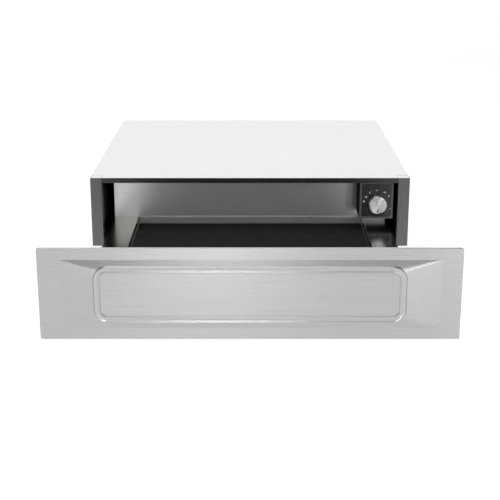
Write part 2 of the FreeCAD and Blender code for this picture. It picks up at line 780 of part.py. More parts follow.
def insulation():
    """Mineral wool over the liner and beside it."""
    gap = d.insulation_gap
    group("insulation_top", [block(
        (-liner_half, liner_half), (post_back + gap, bulkhead_back),
        (ceiling + d.sheet + gap, under_top - gap))])
    group("insulation_sides", [block(
        ordered(liner_half + gap, wall_inside - gap, side),
        (post_back + gap, bulkhead_back), (d.sheet + gap, under_top - gap))
        for side in (LEFT, RIGHT)])


def bulkhead():
    """Rear wall of the bay: air comes out at the sides and goes back at the middle."""
    wall = Body("bulkhead", level=fan_level)
    low, high = d.sheet - fan_level, ceiling - fan_level
    wall.pad("XZ", bulkhead_face, bulkhead_back, rectangle(-bay_half, bay_half, low, high))
    wall.pocket("XZ", bulkhead_face, bulkhead_back, Circle(
        switch_across, d.switch_level - fan_level, d.switch_button + d.port_play))
    run = d.outlet_pitch * (OUTLET_SLOTS - 1)
    half = d.outlet_length / 2
    outermost = bay_half - d.outlet_inset
    for first in (-outermost, outermost - run - d.outlet_width):
        slot = wall.pocket("XZ", bulkhead_face, bulkhead_back, RoundedRectangle(
            first, first + d.outlet_width, -half, half, d.outlet_width * SLOT_ROUND))
        wall.row(slot, "H_Axis", run, OUTLET_SLOTS)
    width = d.vent_width
    spoke = wall.pocket("XZ", bulkhead_face, bulkhead_back, RoundedRectangle(
        -width / 2, width / 2, d.intake_inner, d.intake_outer, width * SLOT_ROUND))
    wall.ring(spoke, "Y", INTAKE_SLOTS)


# ---------------------------------------------------------------- telescopic slides

# Each slide stands under a rim: bracket, fixed member, middle member, moving member.
slide_outer_web = skirt_inside - d.slide_thickness
slide_outer_low = skirt_bottom
slide_outer_high = slide_outer_low + d.slide_height
track = d.slide_sheet + 2 * (d.ball_radius + d.ball_play)


def channel(side, low, high, web, mouth, wall):
    """Section of a channel that opens away from its web."""
    inner = web + wall if mouth.value > web.value else web - wall
    return [(side * web, low), (side * mouth, low), (side * mouth, low + wall),
            (side * inner, low + wall), (side * inner, high - wall),
            (side * mouth, high - wall), (side * mouth, high), (side * web, high)]


middle_web = slide_outer_web + d.slide_sheet + d.cage_room
inner_mouth = middle_web + d.slide_sheet + d.cage_room
outer_mouth = slide_outer_web + d.slide_lap
middle_mouth = outer_mouth + d.slide_sheet


def slide_members(name, side):
    """Bracket, three channels and two ball cages of one slide."""
    bracket = Body(f"slide_bracket_{name}")
    leg = slide_outer_web - d.bracket_sheet
    toe = leg - d.bracket_foot
    start = slide_rest + d.bracket_setback
    end = slide_rest + slide_length - d.bracket_setback
    bracket.pad("XZ", start, end, [
        (side * toe, d.sheet), (side * slide_outer_web, d.sheet),
        (side * slide_outer_web, slide_outer_high), (side * leg, slide_outer_high),
        (side * leg, d.sheet + d.bracket_sheet), (side * toe, d.sheet + d.bracket_sheet)])
    bracket.pocket("XY", d.sheet, d.sheet + d.bracket_sheet,
                   *[Circle(across, along, hole_radius)
                     for across, along in rivet_places() if across.value * side > 0])

    # each row gives how far in the member nests and its share of the drawer's travel
    members = [
        ("slide_outer", 0, 0, slide_outer_web, outer_mouth),
        ("slide_middle", 1, 0.5, middle_web, middle_mouth),
        ("slide_inner", 2, 1, skirt_inside, inner_mouth),
    ]
    for title, nest, share, web, mouth in members:
        member = Body(f"{title}_{name}")
        first = slide_rest - travel * share
        member.pad("XZ", first, first + slide_length, channel(
            side, slide_outer_low + track * nest, slide_outer_high - track * nest,
            web, mouth, d.slide_sheet))

    cages = [("ball_cage_outer", 0, 0.25, middle_web, outer_mouth),
             ("ball_cage_inner", 1, 0.75, inner_mouth, middle_mouth)]
    for title, nest, share, web, mouth in cages:
        ball_cage(f"{title}_{name}", side, nest, share, web, mouth)


def ball_cage(label, side, nest, share, web, mouth):
    """Two strips with a row of balls in each, half way between two members."""
    middle = slide_rest + slide_length / 2 - travel * share
    length = slide_length - travel / 2 - d.cage_margin * 2
    start, end = middle - length / 2, middle + length / 2
    across = (web + mouth) / 2
    reach = d.ball_radius + d.cage_sheet
    pitch = length / BALLS_IN_ROW
    solids = []
    for low in (slide_outer_low + track * nest + d.slide_sheet,
                slide_outer_high - track * (nest + 1)):
        level = low + d.ball_radius + d.ball_play
        strip = block(ordered(across - reach, across + reach, side), (start, end),
                      (level - d.cage_sheet / 2, level + d.cage_sheet / 2))
        seats = []
        for number in range(BALLS_IN_ROW):
            along = start + pitch * (number + 0.5)
            ball = DOCUMENT.addObject("Part::Sphere", "ball")
            place(ball, across * side, along, level)
            bind(ball, "Radius", d.ball_radius)
            solids.append(ball)
            seats.append(cylinder("z", (across * side, along, level - d.cage_sheet),
                                  d.ball_radius + d.ball_play, d.cage_sheet * 2))
        solids.append(cut(strip, fuse(seats)))
    group(label, solids)


def rivet_places():
    """Centres of the rivets that hold the slide brackets to the floor pan."""
    across = slide_outer_web - d.bracket_sheet - d.bracket_foot / 2
    places = (slide_rest + d.rivet_inset, slide_rest + slide_length / 2,
              slide_rest + slide_length - d.rivet_inset)
    return [(side * across, along) for side in (LEFT, RIGHT) for along in places]


def slide_rivets():
    """Six rivets, each with its head on the bracket's foot."""
    foot_top = d.sheet + d.bracket_sheet
    rivets = []
    for across, along in rivet_places():
        shank = cylinder("z", (across, along, 0), d.screw_radius, foot_top)
        head = cylinder("z", (across, along, foot_top), d.screw_head,
                        d.rivet_head_height)
        rivets.append(fuse([shank, head]))
    group("slide_rivets", rivets)


# ---------------------------------------------------------------- drawer

def relief(level_shift):
    """The stamped field as two sections, moved back by a sheet for its inside."""
    field_across = panel_half - d.border_side
    field_low, field_high = panel_bottom + d.border_end, panel_top - d.border_end
    outer = RoundedRectangle(-field_across, field_across, field_low, field_high,
                             d.relief_corner)
    inner = RoundedRectangle(
        -field_across + d.facet_side, field_across - d.facet_side,
        field_low + d.facet_end, field_high - d.facet_end, d.field_corner)
    face = panel_face + level_shift
    return [(face, outer), (face - d.relief_height, inner)]


def front_skin():
    """Stamped stainless front: flat border, four slopes, raised field and bead."""
    skin = Body("front_skin")
    skin.pad("XZ", panel_face, panel_face + d.skin_return, RoundedRectangle(
        -panel_half, panel_half, panel_bottom, panel_top, d.panel_corner))
    skin.loft("AdditiveLoft", "XZ", relief(0))
    proud = panel_face - d.relief_height
    field_across = panel_half - d.border_side - d.facet_side
    field_low = panel_bottom + d.border_end + d.facet_end
    field_high = panel_top - d.border_end - d.facet_end
    bead_inside = RoundedRectangle(
        -field_across + d.bead_width, field_across - d.bead_width,
        field_low + d.bead_width, field_high - d.bead_width,
        d.field_corner - d.bead_width)
    skin.pad("XZ", proud - d.bead_height, proud, RoundedRectangle(
        -field_across, field_across, field_low, field_high, d.field_corner), bead_inside)
    crest = (proud - d.bead_height).value
    skin.round_edges(d.bead_round, lambda edge: all(
        abs(vertex.Y - crest) < 1e-4 for vertex in edge.Vertexes))
    skin.pocket("XZ", skin_back, panel_face + d.skin_return, RoundedRectangle(
        -panel_half + d.skin_sheet, panel_half - d.skin_sheet,
        panel_bottom + d.skin_sheet, panel_top - d.skin_sheet,
        d.panel_corner - d.skin_sheet))
    skin.loft("SubtractiveLoft", "XZ", relief(d.skin_sheet))


def front_backing():
    """Pressed tray behind the skin, with a dish that clears the knob."""
    backing = Body("front_backing")
    backing.pad("XZ", skin_back, backing_back,
                rectangle(-backing_half, backing_half, backing_bottom, backing_top))
    inside = rectangle(-backing_half + d.sheet, backing_half - d.sheet,
                       backing_bottom + d.sheet, backing_top - d.sheet)
    dish_inner = d.knob_radius + d.knob_dish_clearance
    dish = Circle(knob_across, knob_level, dish_inner + d.sheet)
    dish_floor = backing_back - d.knob_dish_depth
    backing.pocket("XZ", skin_back, dish_floor - d.sheet, inside)
    backing.pocket("XZ", dish_floor - d.sheet, backing_back - d.sheet, inside, dish)
    backing.pocket("XZ", dish_floor, backing_back,
                   Circle(knob_across, knob_level, dish_inner))
    backing.pocket("XZ", backing_back - d.sheet, backing_back,
                   *[Circle(across, front_screw_level, hole_radius)
                     for across in front_screw_places])


def front_insulation():
    """Mineral wool between the skin and the backing."""
    gap = d.insulation_gap
    wool = Body("front_insulation")
    wool.pad("XZ", skin_back + gap, backing_back - d.sheet - d.backing_wool_gap,
             rectangle(-backing_half + d.sheet + gap, backing_half - d.sheet - gap,
                       backing_bottom + d.sheet + gap, backing_top - d.sheet - gap))
    wool.pocket("XZ", skin_back + gap, backing_back - d.sheet - d.backing_wool_gap,
                Circle(knob_across, knob_level,
                       d.knob_radius + d.knob_dish_clearance + d.sheet + gap))


def front_seal():
    """Flat silicone frame that meets the housing's front when shut."""
    seal = Body("front_seal")
    across = half_width - d.seal_side_inset
    seal.pad("XZ", backing_back, backing_back + d.seal_thickness,
             rectangle(-across, across, 0, backing_top),
             rectangle(-across + d.seal_width, across - d.seal_width,
                       d.seal_width, backing_top - d.seal_width))


def drawer_tray():
    """Folded tray: wide side rims, sunken floor, skirts and a front upstand."""
    tray = Body("drawer_tray")
    wall = d.tray_sheet
    tray.pad("XZ", tray_front, tray_back,
             rectangle(-drawer_half, drawer_half, skirt_bottom, d.rim_level))
    # the recess from above
    tray.pocket("XY", recess_floor, d.rim_level, RoundedRectangle(
        -recess_half, recess_half, recess_front, recess_back, d.recess_corner))
    # the hollow underneath, below the sunken floor and under both rims
    tray.pocket("XY", skirt_bottom, tray_under, rectangle(
        -skirt_inside, skirt_inside, tray_front + wall, tray_back))
    for side in (LEFT, RIGHT):
        tray.pocket("XY", tray_under, d.rim_level - wall, rectangle(
            *ordered(recess_half + wall, skirt_inside, side), tray_front + wall, tray_back))
    tray.pocket("XY", tray_under, d.rim_level - wall, rectangle(
        -recess_half - wall, recess_half + wall, tray_front + wall, recess_front - wall))
    tray.pad("XZ", tray_front, tray_front + wall,
             rectangle(-drawer_half, drawer_half, d.rim_level, upstand_top))
    tray.pocket("XZ", tray_front, tray_front + wall,
                *[Circle(across, front_screw_level, hole_radius)
                  for across in front_screw_places])


def drawer_rear_wall():
    """Rear sheet of the drawer, with a folded top edge and clear of the slides."""
    wall = Body("drawer_rear_wall")
    shoulder = d.rim_level - d.tray_sheet
    # the sheet steps in below the rims, where the slides pass
    wall.pad("XZ", tray_back, rear_wall_back, [
        (-recess_half, tray_under), (recess_half, tray_under), (recess_half, shoulder),
        (drawer_half, shoulder), (drawer_half, rear_wall_top),
        (-drawer_half, rear_wall_top), (-drawer_half, shoulder),
        (-recess_half, shoulder)])
    wall.pad("XZ", rear_wall_back, rear_wall_back + d.rear_wall_flange, rectangle(
        -drawer_half, drawer_half, rear_wall_top - d.tray_sheet, rear_wall_top))


def drawer_mat():
    """Anti-slip mat that lies in the recess."""
    mat = Body("drawer_mat")
    mat.pad("XY", recess_floor, recess_floor + d.mat_thickness, RoundedRectangle(
        -recess_half + d.mat_clearance, recess_half - d.mat_clearance,
        recess_front + d.mat_clearance, recess_back - d.mat_clearance, d.mat_corner))


def tray_stiffeners():
    """Two hat sections under the tray's floor."""
    solids = []
    for side in (LEFT, RIGHT):
        low = tray_under - d.stiffener_depth
        centre = d.stiffener_offset * side
        along = (tray_front + d.stiffener_inset, tray_back - d.stiffener_inset)
        outside = block((centre - d.stiffener_width / 2, centre + d.stiffener_width / 2),
                        along, (low, tray_under))
        inside = block((centre - d.stiffener_width / 2 + d.tray_sheet,
                        centre + d.stiffener_width / 2 - d.tray_sheet),
                       along, (low + d.tray_sheet, tray_under))
        solids.append(cut(outside, inside))
    group("tray_stiffeners", solids)


def front_screws():
    """Screws that hold the front to the tray's upstand."""
    seat = tray_front + d.tray_sheet
    tip = d.sheet + d.backing_wool_gap / 2
    screws = []
    for across in front_screw_places:
        head = cylinder("y", (across, seat, front_screw_level), d.screw_head,
                        d.screw_head_height)
        shank = cylinder("y", (across, tray_front - tip, front_screw_level),
                         d.screw_radius, tip + d.tray_sheet)
        screws.append(fuse([head, shank]))
    group("drawer_front_screws", screws)


# ---------------------------------------------------------------- controls

def control_box():
    """Folded box that hangs from the ceiling behind the fascia."""
    box = Body("control_box")
    box.pad("XZ", fascia_back, control_back,
            rectangle(control_left, control_right, control_bottom, ceiling))
    box.pocket("XZ", fascia_back, control_back - d.sheet,
               rectangle(control_left + d.sheet, control_right - d.sheet,
                         control_bottom + d.sheet, ceiling - d.sheet))
    box.pocket("XZ", control_back - d.sheet, control_back,
               Circle(knob_across, bulb_level, d.capillary_radius + d.port_play))


def control_fascia():
    """Black fascia plate and the grey frame over its edge."""
    plate = Body("control_fascia")
    plate.pad("XZ", fascia_face, fascia_back,
              rectangle(control_left, control_right, control_bottom, ceiling))
    plate.pocket("XZ", fascia_face, fascia_back,
                 Circle(knob_across, knob_level, d.spindle_radius + d.port_play))
    bezel = Body("control_bezel")
    bezel.pad("XZ", bezel_face, fascia_face,
              rectangle(control_left, control_right, control_bottom, ceiling),
              rectangle(control_left + d.bezel_width, control_right - d.bezel_width,
                        control_bottom + d.bezel_width, ceiling - d.bezel_width))


def thermostat():
    """Case with the spindle's bore, and the spindle in it."""
    case = Body("thermostat_body", level=knob_level, across=knob_across)
    half = d.thermostat_size / 2
    case_back = fascia_back + d.thermostat_depth
    case.pad("XZ", fascia_back, case_back,
             RoundedRectangle(-half, half, -half, half, d.thermostat_corner))
    bore_end = fascia_back + d.thermostat_depth / 2
    case.pocket("XZ", fascia_back, bore_end,
                Circle(origin, origin, d.spindle_radius + d.spindle_play))
    start = fascia_face - d.knob_depth + d.knob_front
    group("thermostat_spindle", [cylinder(
        "y", (knob_across, start, knob_level), d.spindle_radius,
        bore_end - d.touch_gap - start)])


def knob():
    """Turned knob: a rounded front, a skirt and a hub bored for the spindle."""
    piece = Body("knob", level=knob_level, across=knob_across)
    front = fascia_face - d.knob_depth
    back = fascia_face - d.knob_gap
    piece.turned("Revolution", "YZ", "H_Axis", [
        (front, origin), (back, origin), (back, d.knob_radius), (front, d.knob_radius)])
    piece.pocket("XZ", front + d.knob_front, back, Circle(origin, origin, d.spindle_radius))
    piece.pocket("XZ", front + d.knob_front, back,
                 Circle(origin, origin, d.knob_radius - d.knob_skirt),
                 Circle(origin, origin, d.knob_hub))
    piece.round_edges(d.knob_round, lambda edge: all(
        abs(vertex.Y - front.value) < 1e-4 for vertex in edge.Vertexes))


def capillary():
    """Capillary tube from the thermostat to its bulb under the ceiling."""
    exit_along = fascia_back + d.thermostat_depth / 2
    exit_level = knob_level + d.thermostat_size / 2
    bulb_start = bulkhead_face - d.bulb_gap - d.bulb_length
    bend = d.capillary_bend
    riser = cylinder("z", (knob_across, exit_along, exit_level), d.capillary_radius,
                     bulb_level - bend - exit_level)
    elbow = DOCUMENT.addObject("Part::Torus", "elbow")
    elbow.Placement = FreeCAD.Placement(FreeCAD.Vector(), FreeCAD.Rotation(
        FreeCAD.Vector(0, -1, 0), FreeCAD.Vector(0, 0, 1), FreeCAD.Vector(-1, 0, 0), "XYZ"))
    place(elbow, knob_across, exit_along + bend, bulb_level - bend)
    bind(elbow, "Radius1", bend)
    bind(elbow, "Radius2", d.capillary_radius)
    elbow.Angle3 = 90
    run = cylinder("y", (knob_across, exit_along + bend, bulb_level), d.capillary_radius,
                   bulb_start - exit_along - bend)
    bulb = cylinder("y", (knob_across, bulb_start, bulb_level), d.bulb_radius,
                    d.bulb_length)
    group("thermostat_bulb", [fuse([riser, elbow, run, bulb])])
    clips = []
    bulb_end = bulb_start + d.bulb_length
    for along in (bulb_start + d.clip_inset, bulb_end - d.clip_inset - d.clip_width):
        ring = cylinder("y", (knob_across, along, bulb_level),
                        d.bulb_radius + d.sheet, d.clip_width)
        stem = block((knob_across - d.bulb_radius, knob_across + d.bulb_radius),
                     (along, along + d.clip_width), (bulb_level, ceiling))
        hole = cylinder("y", (knob_across, along, bulb_level),
                        d.bulb_radius + d.spindle_play, d.clip_width)
        clips.append(cut(fuse([ring, stem]), hole))
    group("bulb_clips", clips)


# ---------------------------------------------------------------- hot air unit

def motor_plate():
    """Folded plate that carries the fan motor behind the bulkhead."""
    plate = Body("motor_plate", level=fan_level)
    half = d.plate_width / 2
    inner = half - d.plate_sheet
    plate.pad("XY", -plate_tall, plate_tall, [
        (-half, bulkhead_back), (-inner, bulkhead_back), (-inner, plate_face),
        (inner, plate_face), (inner, bulkhead_back), (half, bulkhead_back),
        (half, plate_back), (-half, plate_back)])
    air_way = plate_tall - d.plate_bridge
    plate.pocket("YZ", -half, half, rectangle(
        bulkhead_back + d.plate_rail, plate_face - d.plate_rail, -air_way, air_way))
    leg_across, leg_up = element_leg()
    plate.pocket("XZ", plate_face, plate_back,
                 Circle(origin, origin, d.fan_shaft_radius + d.shaft_port_play),
                 Circle(-leg_across, leg_up, d.element_tube + d.port_play),
                 Circle(leg_across, leg_up, d.element_tube + d.port_play))


def element_leg():
    """Where an end of the element's ring lies, seen from the fan's axis."""
    turn = f"({d.element_gap_angle.text} * 1deg)"
    angle = math.radians(d.element_gap_angle.value)
    across = Size(f"({element_radius.text} * sin{turn})",
                  element_radius.value * math.sin(angle))
    up = Size(f"(0 - {element_radius.text} * cos{turn})",
              -element_radius.value * math.cos(angle))
    return across, up


def heating_element():
    """Open ring round the impeller, with two legs through the motor plate."""
    along = (bulkhead_back + plate_face) / 2
    ring = DOCUMENT.addObject("Part::Torus", "ring")
    angle = math.radians(d.element_gap_angle.value)
    sine, cosine = math.sin(angle), math.cos(angle)
    ring.Placement = FreeCAD.Placement(FreeCAD.Vector(), FreeCAD.Rotation(
        FreeCAD.Vector(sine, 0, -cosine), FreeCAD.Vector(cosine, 0, sine),
        FreeCAD.Vector(0, -1, 0), "XYZ"))
    place(ring, 0, along, fan_level)
    bind(ring, "Radius1", element_radius)
    bind(ring, "Radius2", d.element_tube)
    bind(ring, "Angle3", 360 - 2 * d.element_gap_angle)
    leg_across, leg_up = element_leg()
    legs = []
    for side in (LEFT, RIGHT):
        knee = DOCUMENT.addObject("Part::Sphere", "knee")
        place(knee, leg_across * side, along, fan_level + leg_up)
        bind(knee, "Radius", d.element_tube)
        legs.append(knee)
        legs.append(cylinder("y", (leg_across * side, along, fan_level + leg_up),
                             d.element_tube, plate_back + d.element_tail - along))
    group("heating_element", [fuse([ring] + legs)])


def impeller():
    """Radial impeller: back disc, hub and twelve blades."""
    fan = Body("fan_impeller", level=fan_level)
    disc_back = fan_front + d.fan_blade_depth + d.sheet
    fan.pad("XZ", disc_back - d.sheet, disc_back, Circle(origin, origin, fan_radius))
    fan.pad("XZ", fan_front, disc_back - d.sheet, Circle(origin, origin, d.fan_hub))
    blade = fan.pad("XZ", fan_front, disc_back - d.sheet, rectangle(
        -d.sheet / 2, d.sheet / 2, fan_radius * BLADE_START, fan_radius - d.sheet))
    fan.ring(blade, "Y", FAN_BLADES)
    fan.pocket("XZ", fan_front, disc_back, Circle(origin, origin, d.fan_shaft_radius))


motor_front = plate_back + d.bearing_front
motor_back = motor_front + d.stator_depth


def fan_motor():
    """Shaded-pole motor: laminations, coil, two bearing bridges, shaft with rotor."""
    half = d.stator_width / 2
    limb = d.stator_limb
    bore = d.rotor_radius + d.rotor_gap
    foot = element_leg()[1] + d.element_tube + d.coil_gap + d.coil_spread
    window_low = foot + limb
    window_top = -bore - limb / 2
    stator = Body("motor_stator", level=fan_level)
    stator.pad("XZ", motor_front, motor_back, rectangle(-half, half, foot, bore + limb))
    stator.pocket("XZ", motor_front, motor_back, Circle(origin, origin, bore),
                  rectangle(-half + limb, half - limb, window_low, window_top))
    coil = Body("motor_coil", level=fan_level)
    coil_half = d.coil_width / 2
    coil.pad("YZ", -coil_half, coil_half, rectangle(
        motor_front - d.coil_spread, motor_back + d.coil_spread,
        foot - d.coil_spread, window_top - d.rotor_gap))
    coil.pocket("YZ", -coil_half, coil_half, rectangle(
        motor_front - d.port_play, motor_back + d.port_play,
        foot - d.port_play, window_low + d.port_play))
    bridges = []
    for low, high in ((plate_back, motor_front), (motor_back, motor_back + d.bearing_rear)):
        bar = block((-d.bearing_width / 2, d.bearing_width / 2), (low, high),
                    (fan_level - limb, fan_level + limb))
        bore_hole = cylinder("y", (origin, low, fan_level),
                             d.fan_shaft_radius + d.spindle_play, high - low)
        bridges.append(cut(bar, bore_hole))
    group("motor_bearings", bridges)
    shaft = cylinder("y", (origin, fan_front, fan_level), d.fan_shaft_radius,
                     motor_back + d.shaft_end - fan_front)
    rotor = cylinder("y", (origin, motor_front + d.rotor_gap, fan_level),
                     d.rotor_radius, d.stator_depth - 2 * d.rotor_gap)
    group("fan_shaft", [fuse([shaft, rotor])])


def safety_cutout():
    """Thermal cut-out on the motor plate, with two tabs."""
    level = fan_level + d.cutout_rise
    disc = cylinder("y", (d.cutout_offset, plate_back, level), d.cutout_radius,
                    d.cutout_depth)
    root = plate_back + d.cutout_depth
    tabs = []
    for side in (LEFT, RIGHT):
        middle = d.cutout_offset + side * d.cutout_radius / 2
        tabs.append(block((middle - d.tab_sheet / 2, middle + d.tab_sheet / 2),
                          (root, root + d.tab_length),
                          (level - d.tab_width / 2, level + d.tab_width / 2)))
    group("safety_cutout", [fuse([disc] + tabs)])


# ---------------------------------------------------------------- electrics and latch

def terminal_block():
    """Three-way block on the floor pan beside the gland."""
    housing = Body("terminal_block")
    right = gland_across - d.terminal_gap
    left = right - d.terminal_width
    front = bulkhead_back + d.terminal_setback
    top = d.sheet + d.terminal_height
    housing.pad("XY", d.sheet, top, rectangle(left, right, front, front + d.terminal_depth))
    run = d.terminal_pitch * (TERMINALS - 1)
    well = housing.pocket("XY", top - d.terminal_height / 2, top, Circle(
        left + (d.terminal_width - run) / 2, front + d.terminal_depth / 2,
        d.terminal_well))
    housing.row(well, "H_Axis", run, TERMINALS)


def cord_gland():
    """Flanged gland with its nut, bored for the supply cord."""
    gland = Body("cord_gland", level=d.gland_level, across=gland_across)
    inner_end = cover_face - d.gland_inside
    outer_end = back_plane + d.gland_outside
    gland.turned("Revolution", "YZ", "H_Axis", [
        (inner_end, d.gland_bore), (outer_end, d.gland_bore),
        (outer_end, d.gland_shank), (back_plane + d.gland_wall, d.gland_flange),
        (back_plane, d.gland_flange), (back_plane, d.gland_shank),
        (cover_face, d.gland_shank), (cover_face, d.gland_flange),
        (cover_face - d.gland_wall, d.gland_flange),
        (cover_face - d.gland_wall, d.gland_shank), (inner_end, d.gland_shank)])


latch_face = bulkhead_face - d.latch_gap - d.latch_length
latch_axis = d.sheet + d.latch_height / 2


def push_latch():
    """Push-to-open latch on the floor pan, its plunger and the drawer's striker."""
    latch = Body("latch_body")
    half = d.latch_width / 2
    latch.pad("XY", d.sheet, d.sheet + d.latch_height,
              rectangle(-half, half, latch_face, latch_face + d.latch_length))
    plunger_end = latch_face + d.latch_length / 2
    latch.pocket("XZ", latch_face, plunger_end + d.latch_stroke + d.touch_gap,
                 Circle(origin, latch_axis, d.plunger_radius + d.spindle_play))
    tip = latch_face - d.latch_reach
    group("latch_plunger", [cylinder(
        "y", (0, tip, latch_axis), d.plunger_radius, plunger_end - tip)])

    striker = Body("latch_striker")
    face = tip - d.touch_gap - travel
    behind = face - d.striker_sheet
    low = d.lip_height + d.striker_gap
    under = tray_under - d.striker_sheet
    striker.pad("YZ", -d.striker_width / 2, d.striker_width / 2, [
        (behind, low), (face, low), (face, tray_under),
        (face - d.striker_foot, tray_under), (face - d.striker_foot, under),
        (behind, under)])


def drawer_switch():
    """Switch behind the bulkhead, with a button that the shut drawer reaches."""
    case = Body("drawer_switch", level=d.switch_level, across=switch_across)
    half, rise = d.switch_width / 2, d.switch_height / 2
    case.pad("XZ", bulkhead_back, bulkhead_back + d.switch_depth,
             rectangle(-half, half, -rise, rise))
    tip = rear_wall_back + travel + d.touch_gap
    button_end = bulkhead_back + d.switch_depth / 2
    case.pocket("XZ", bulkhead_back, button_end + d.switch_stroke + d.touch_gap,
                Circle(origin, origin, d.switch_button + d.spindle_play))
    group("switch_button", [cylinder(
        "y", (switch_across, tip, d.switch_level), d.switch_button,
        button_end - tip)])


def cover_screws():
    """Six screws that hold the rear cover to the side walls."""
    screws = []
    for side in (LEFT, RIGHT):
        for level in cover_screw_levels:
            across = side * cover_screw_across
            head = cylinder("y", (across, back_plane, level), d.screw_head,
                            d.screw_head_height)
            shank = cylinder("y", (across, back_plane - d.screw_length, level),
                             d.screw_radius, d.screw_length)
            screws.append(fuse([head, shank]))
    group("cover_screws", screws)


# ---------------------------------------------------------------- build and export

def build():
    """Make every piece."""
    floor_pan()
    feet()
    for name, side in (("left", LEFT), ("right", RIGHT)):
        side_wall(f"side_wall_{name}", side)
        front_post(f"front_post_{name}", side)
        slide_members(name, side)
    slide_rivets()
    top_cover()
    rear_cover()
    front_top_rail()
    inner_liner()
    insulation()
    bulkhead()
    front_skin()
    front_backing()
    front_insulation()
    front_seal()
    drawer_tray()
    drawer_rear_wall()
    drawer_mat()
    tray_stiffeners()
    front_screws()
    control_box()
    control_fascia()
    thermostat()
    knob()
    capillary()
    motor_plate()
    heating_element()
    impeller()
    fan_motor()
    safety_cutout()
    terminal_block()
    cord_gland()
    push_latch()
    drawer_switch()
    cover_screws()
    DOCUMENT.recompute()


def check():
    """Refuse a failed object, a null or invalid shape, or a cut that removes nothing."""
    for thing in DOCUMENT.Objects:
        if "Invalid" in thing.State or "Error" in thing.State:
            raise RuntimeError(f"{thing.Label} failed: {thing.State}")
        if thing.TypeId in ("PartDesign::Pocket", "PartDesign::SubtractiveLoft"):
            if thing.BaseFeature.Shape.Volume - thing.Shape.Volume < 1e-3:
                raise RuntimeError(f"{thing.Label} removes nothing")
    for piece in PIECES:
        if piece.Shape.isNull() or not piece.Shape.isValid():
            raise RuntimeError(f"{piece.Label} has no valid shape")


def export():
    """Write one STEP file for each piece."""
    os.makedirs("parts", exist_ok=True)
    for piece in PIECES:
        piece.Shape.exportStep(f"parts/{piece.Label}.step")


build()
check()
export()
print(len(PIECES), "pieces,", sum(len(piece.Shape.Solids) for piece in PIECES), "solids")
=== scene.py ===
import json
import logging
import math
from dataclasses import dataclass
from enum import Enum
from functools import cache
from typing import Any, Callable, Self

import bpy
from bpy import ops
from bpy.types import Material, Node, NodeSocket, NodeTree, Object
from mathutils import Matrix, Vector

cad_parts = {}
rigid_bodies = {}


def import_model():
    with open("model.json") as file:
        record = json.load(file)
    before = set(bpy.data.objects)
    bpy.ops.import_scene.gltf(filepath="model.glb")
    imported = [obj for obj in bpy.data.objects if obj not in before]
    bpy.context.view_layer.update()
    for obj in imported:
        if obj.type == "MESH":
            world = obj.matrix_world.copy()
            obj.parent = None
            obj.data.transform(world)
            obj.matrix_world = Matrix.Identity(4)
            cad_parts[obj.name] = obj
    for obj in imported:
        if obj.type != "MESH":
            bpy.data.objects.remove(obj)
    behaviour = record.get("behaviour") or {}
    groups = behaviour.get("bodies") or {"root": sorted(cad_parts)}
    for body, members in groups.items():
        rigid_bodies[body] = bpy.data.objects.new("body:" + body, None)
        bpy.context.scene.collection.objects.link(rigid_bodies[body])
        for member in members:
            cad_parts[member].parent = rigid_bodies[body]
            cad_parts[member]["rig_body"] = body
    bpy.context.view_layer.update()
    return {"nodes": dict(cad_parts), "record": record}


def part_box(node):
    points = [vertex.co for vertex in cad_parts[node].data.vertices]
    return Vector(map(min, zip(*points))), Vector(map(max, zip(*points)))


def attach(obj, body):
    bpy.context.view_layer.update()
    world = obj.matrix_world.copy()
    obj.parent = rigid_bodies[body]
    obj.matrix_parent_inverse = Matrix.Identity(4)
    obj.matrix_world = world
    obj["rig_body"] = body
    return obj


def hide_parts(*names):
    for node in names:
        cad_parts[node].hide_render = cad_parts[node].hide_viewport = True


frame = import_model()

# Sizes in the classes are millimetres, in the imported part's own frame: the drawer
# opens towards -Y, +Z is up and the knob is on the +X side.
MM = 0.001
# Places this near are the same: the second is for the points of a round.
TOUCH, NEAR = 0.02, 0.2
# A direction with a larger or smaller share of an axis is along or across it.
ALONG, ACROSS = 0.9, 0.1
# Most of a noise's values lie in this span.
NOISE_SPAN = (0.3, 0.7)
# Turns a primitive's own Z to the front.
FACING = (math.pi / 2, 0, 0)
# The knob's axis along X and Z.
KNOB_AXIS = (224.75, 75.5)
LOG = logging.getLogger("warming_drawer")
Pair = tuple[float, float]
Point = tuple[float, float, float]
Test = Callable[[Vector, Vector], bool]
# The four corners of a front: -1 is left or low.
CORNERS = tuple((side, end) for side in (-1, 1) for end in (-1, 1))


# ---- the bench

class Pick(Enum):
    """What an edit-mode step selects."""

    POINTS = "VERT"
    EDGES = "EDGE"
    FACES = "FACE"


class Axis(Enum):
    """A direction of the part's frame."""

    X = 0
    Y = 1
    Z = 2


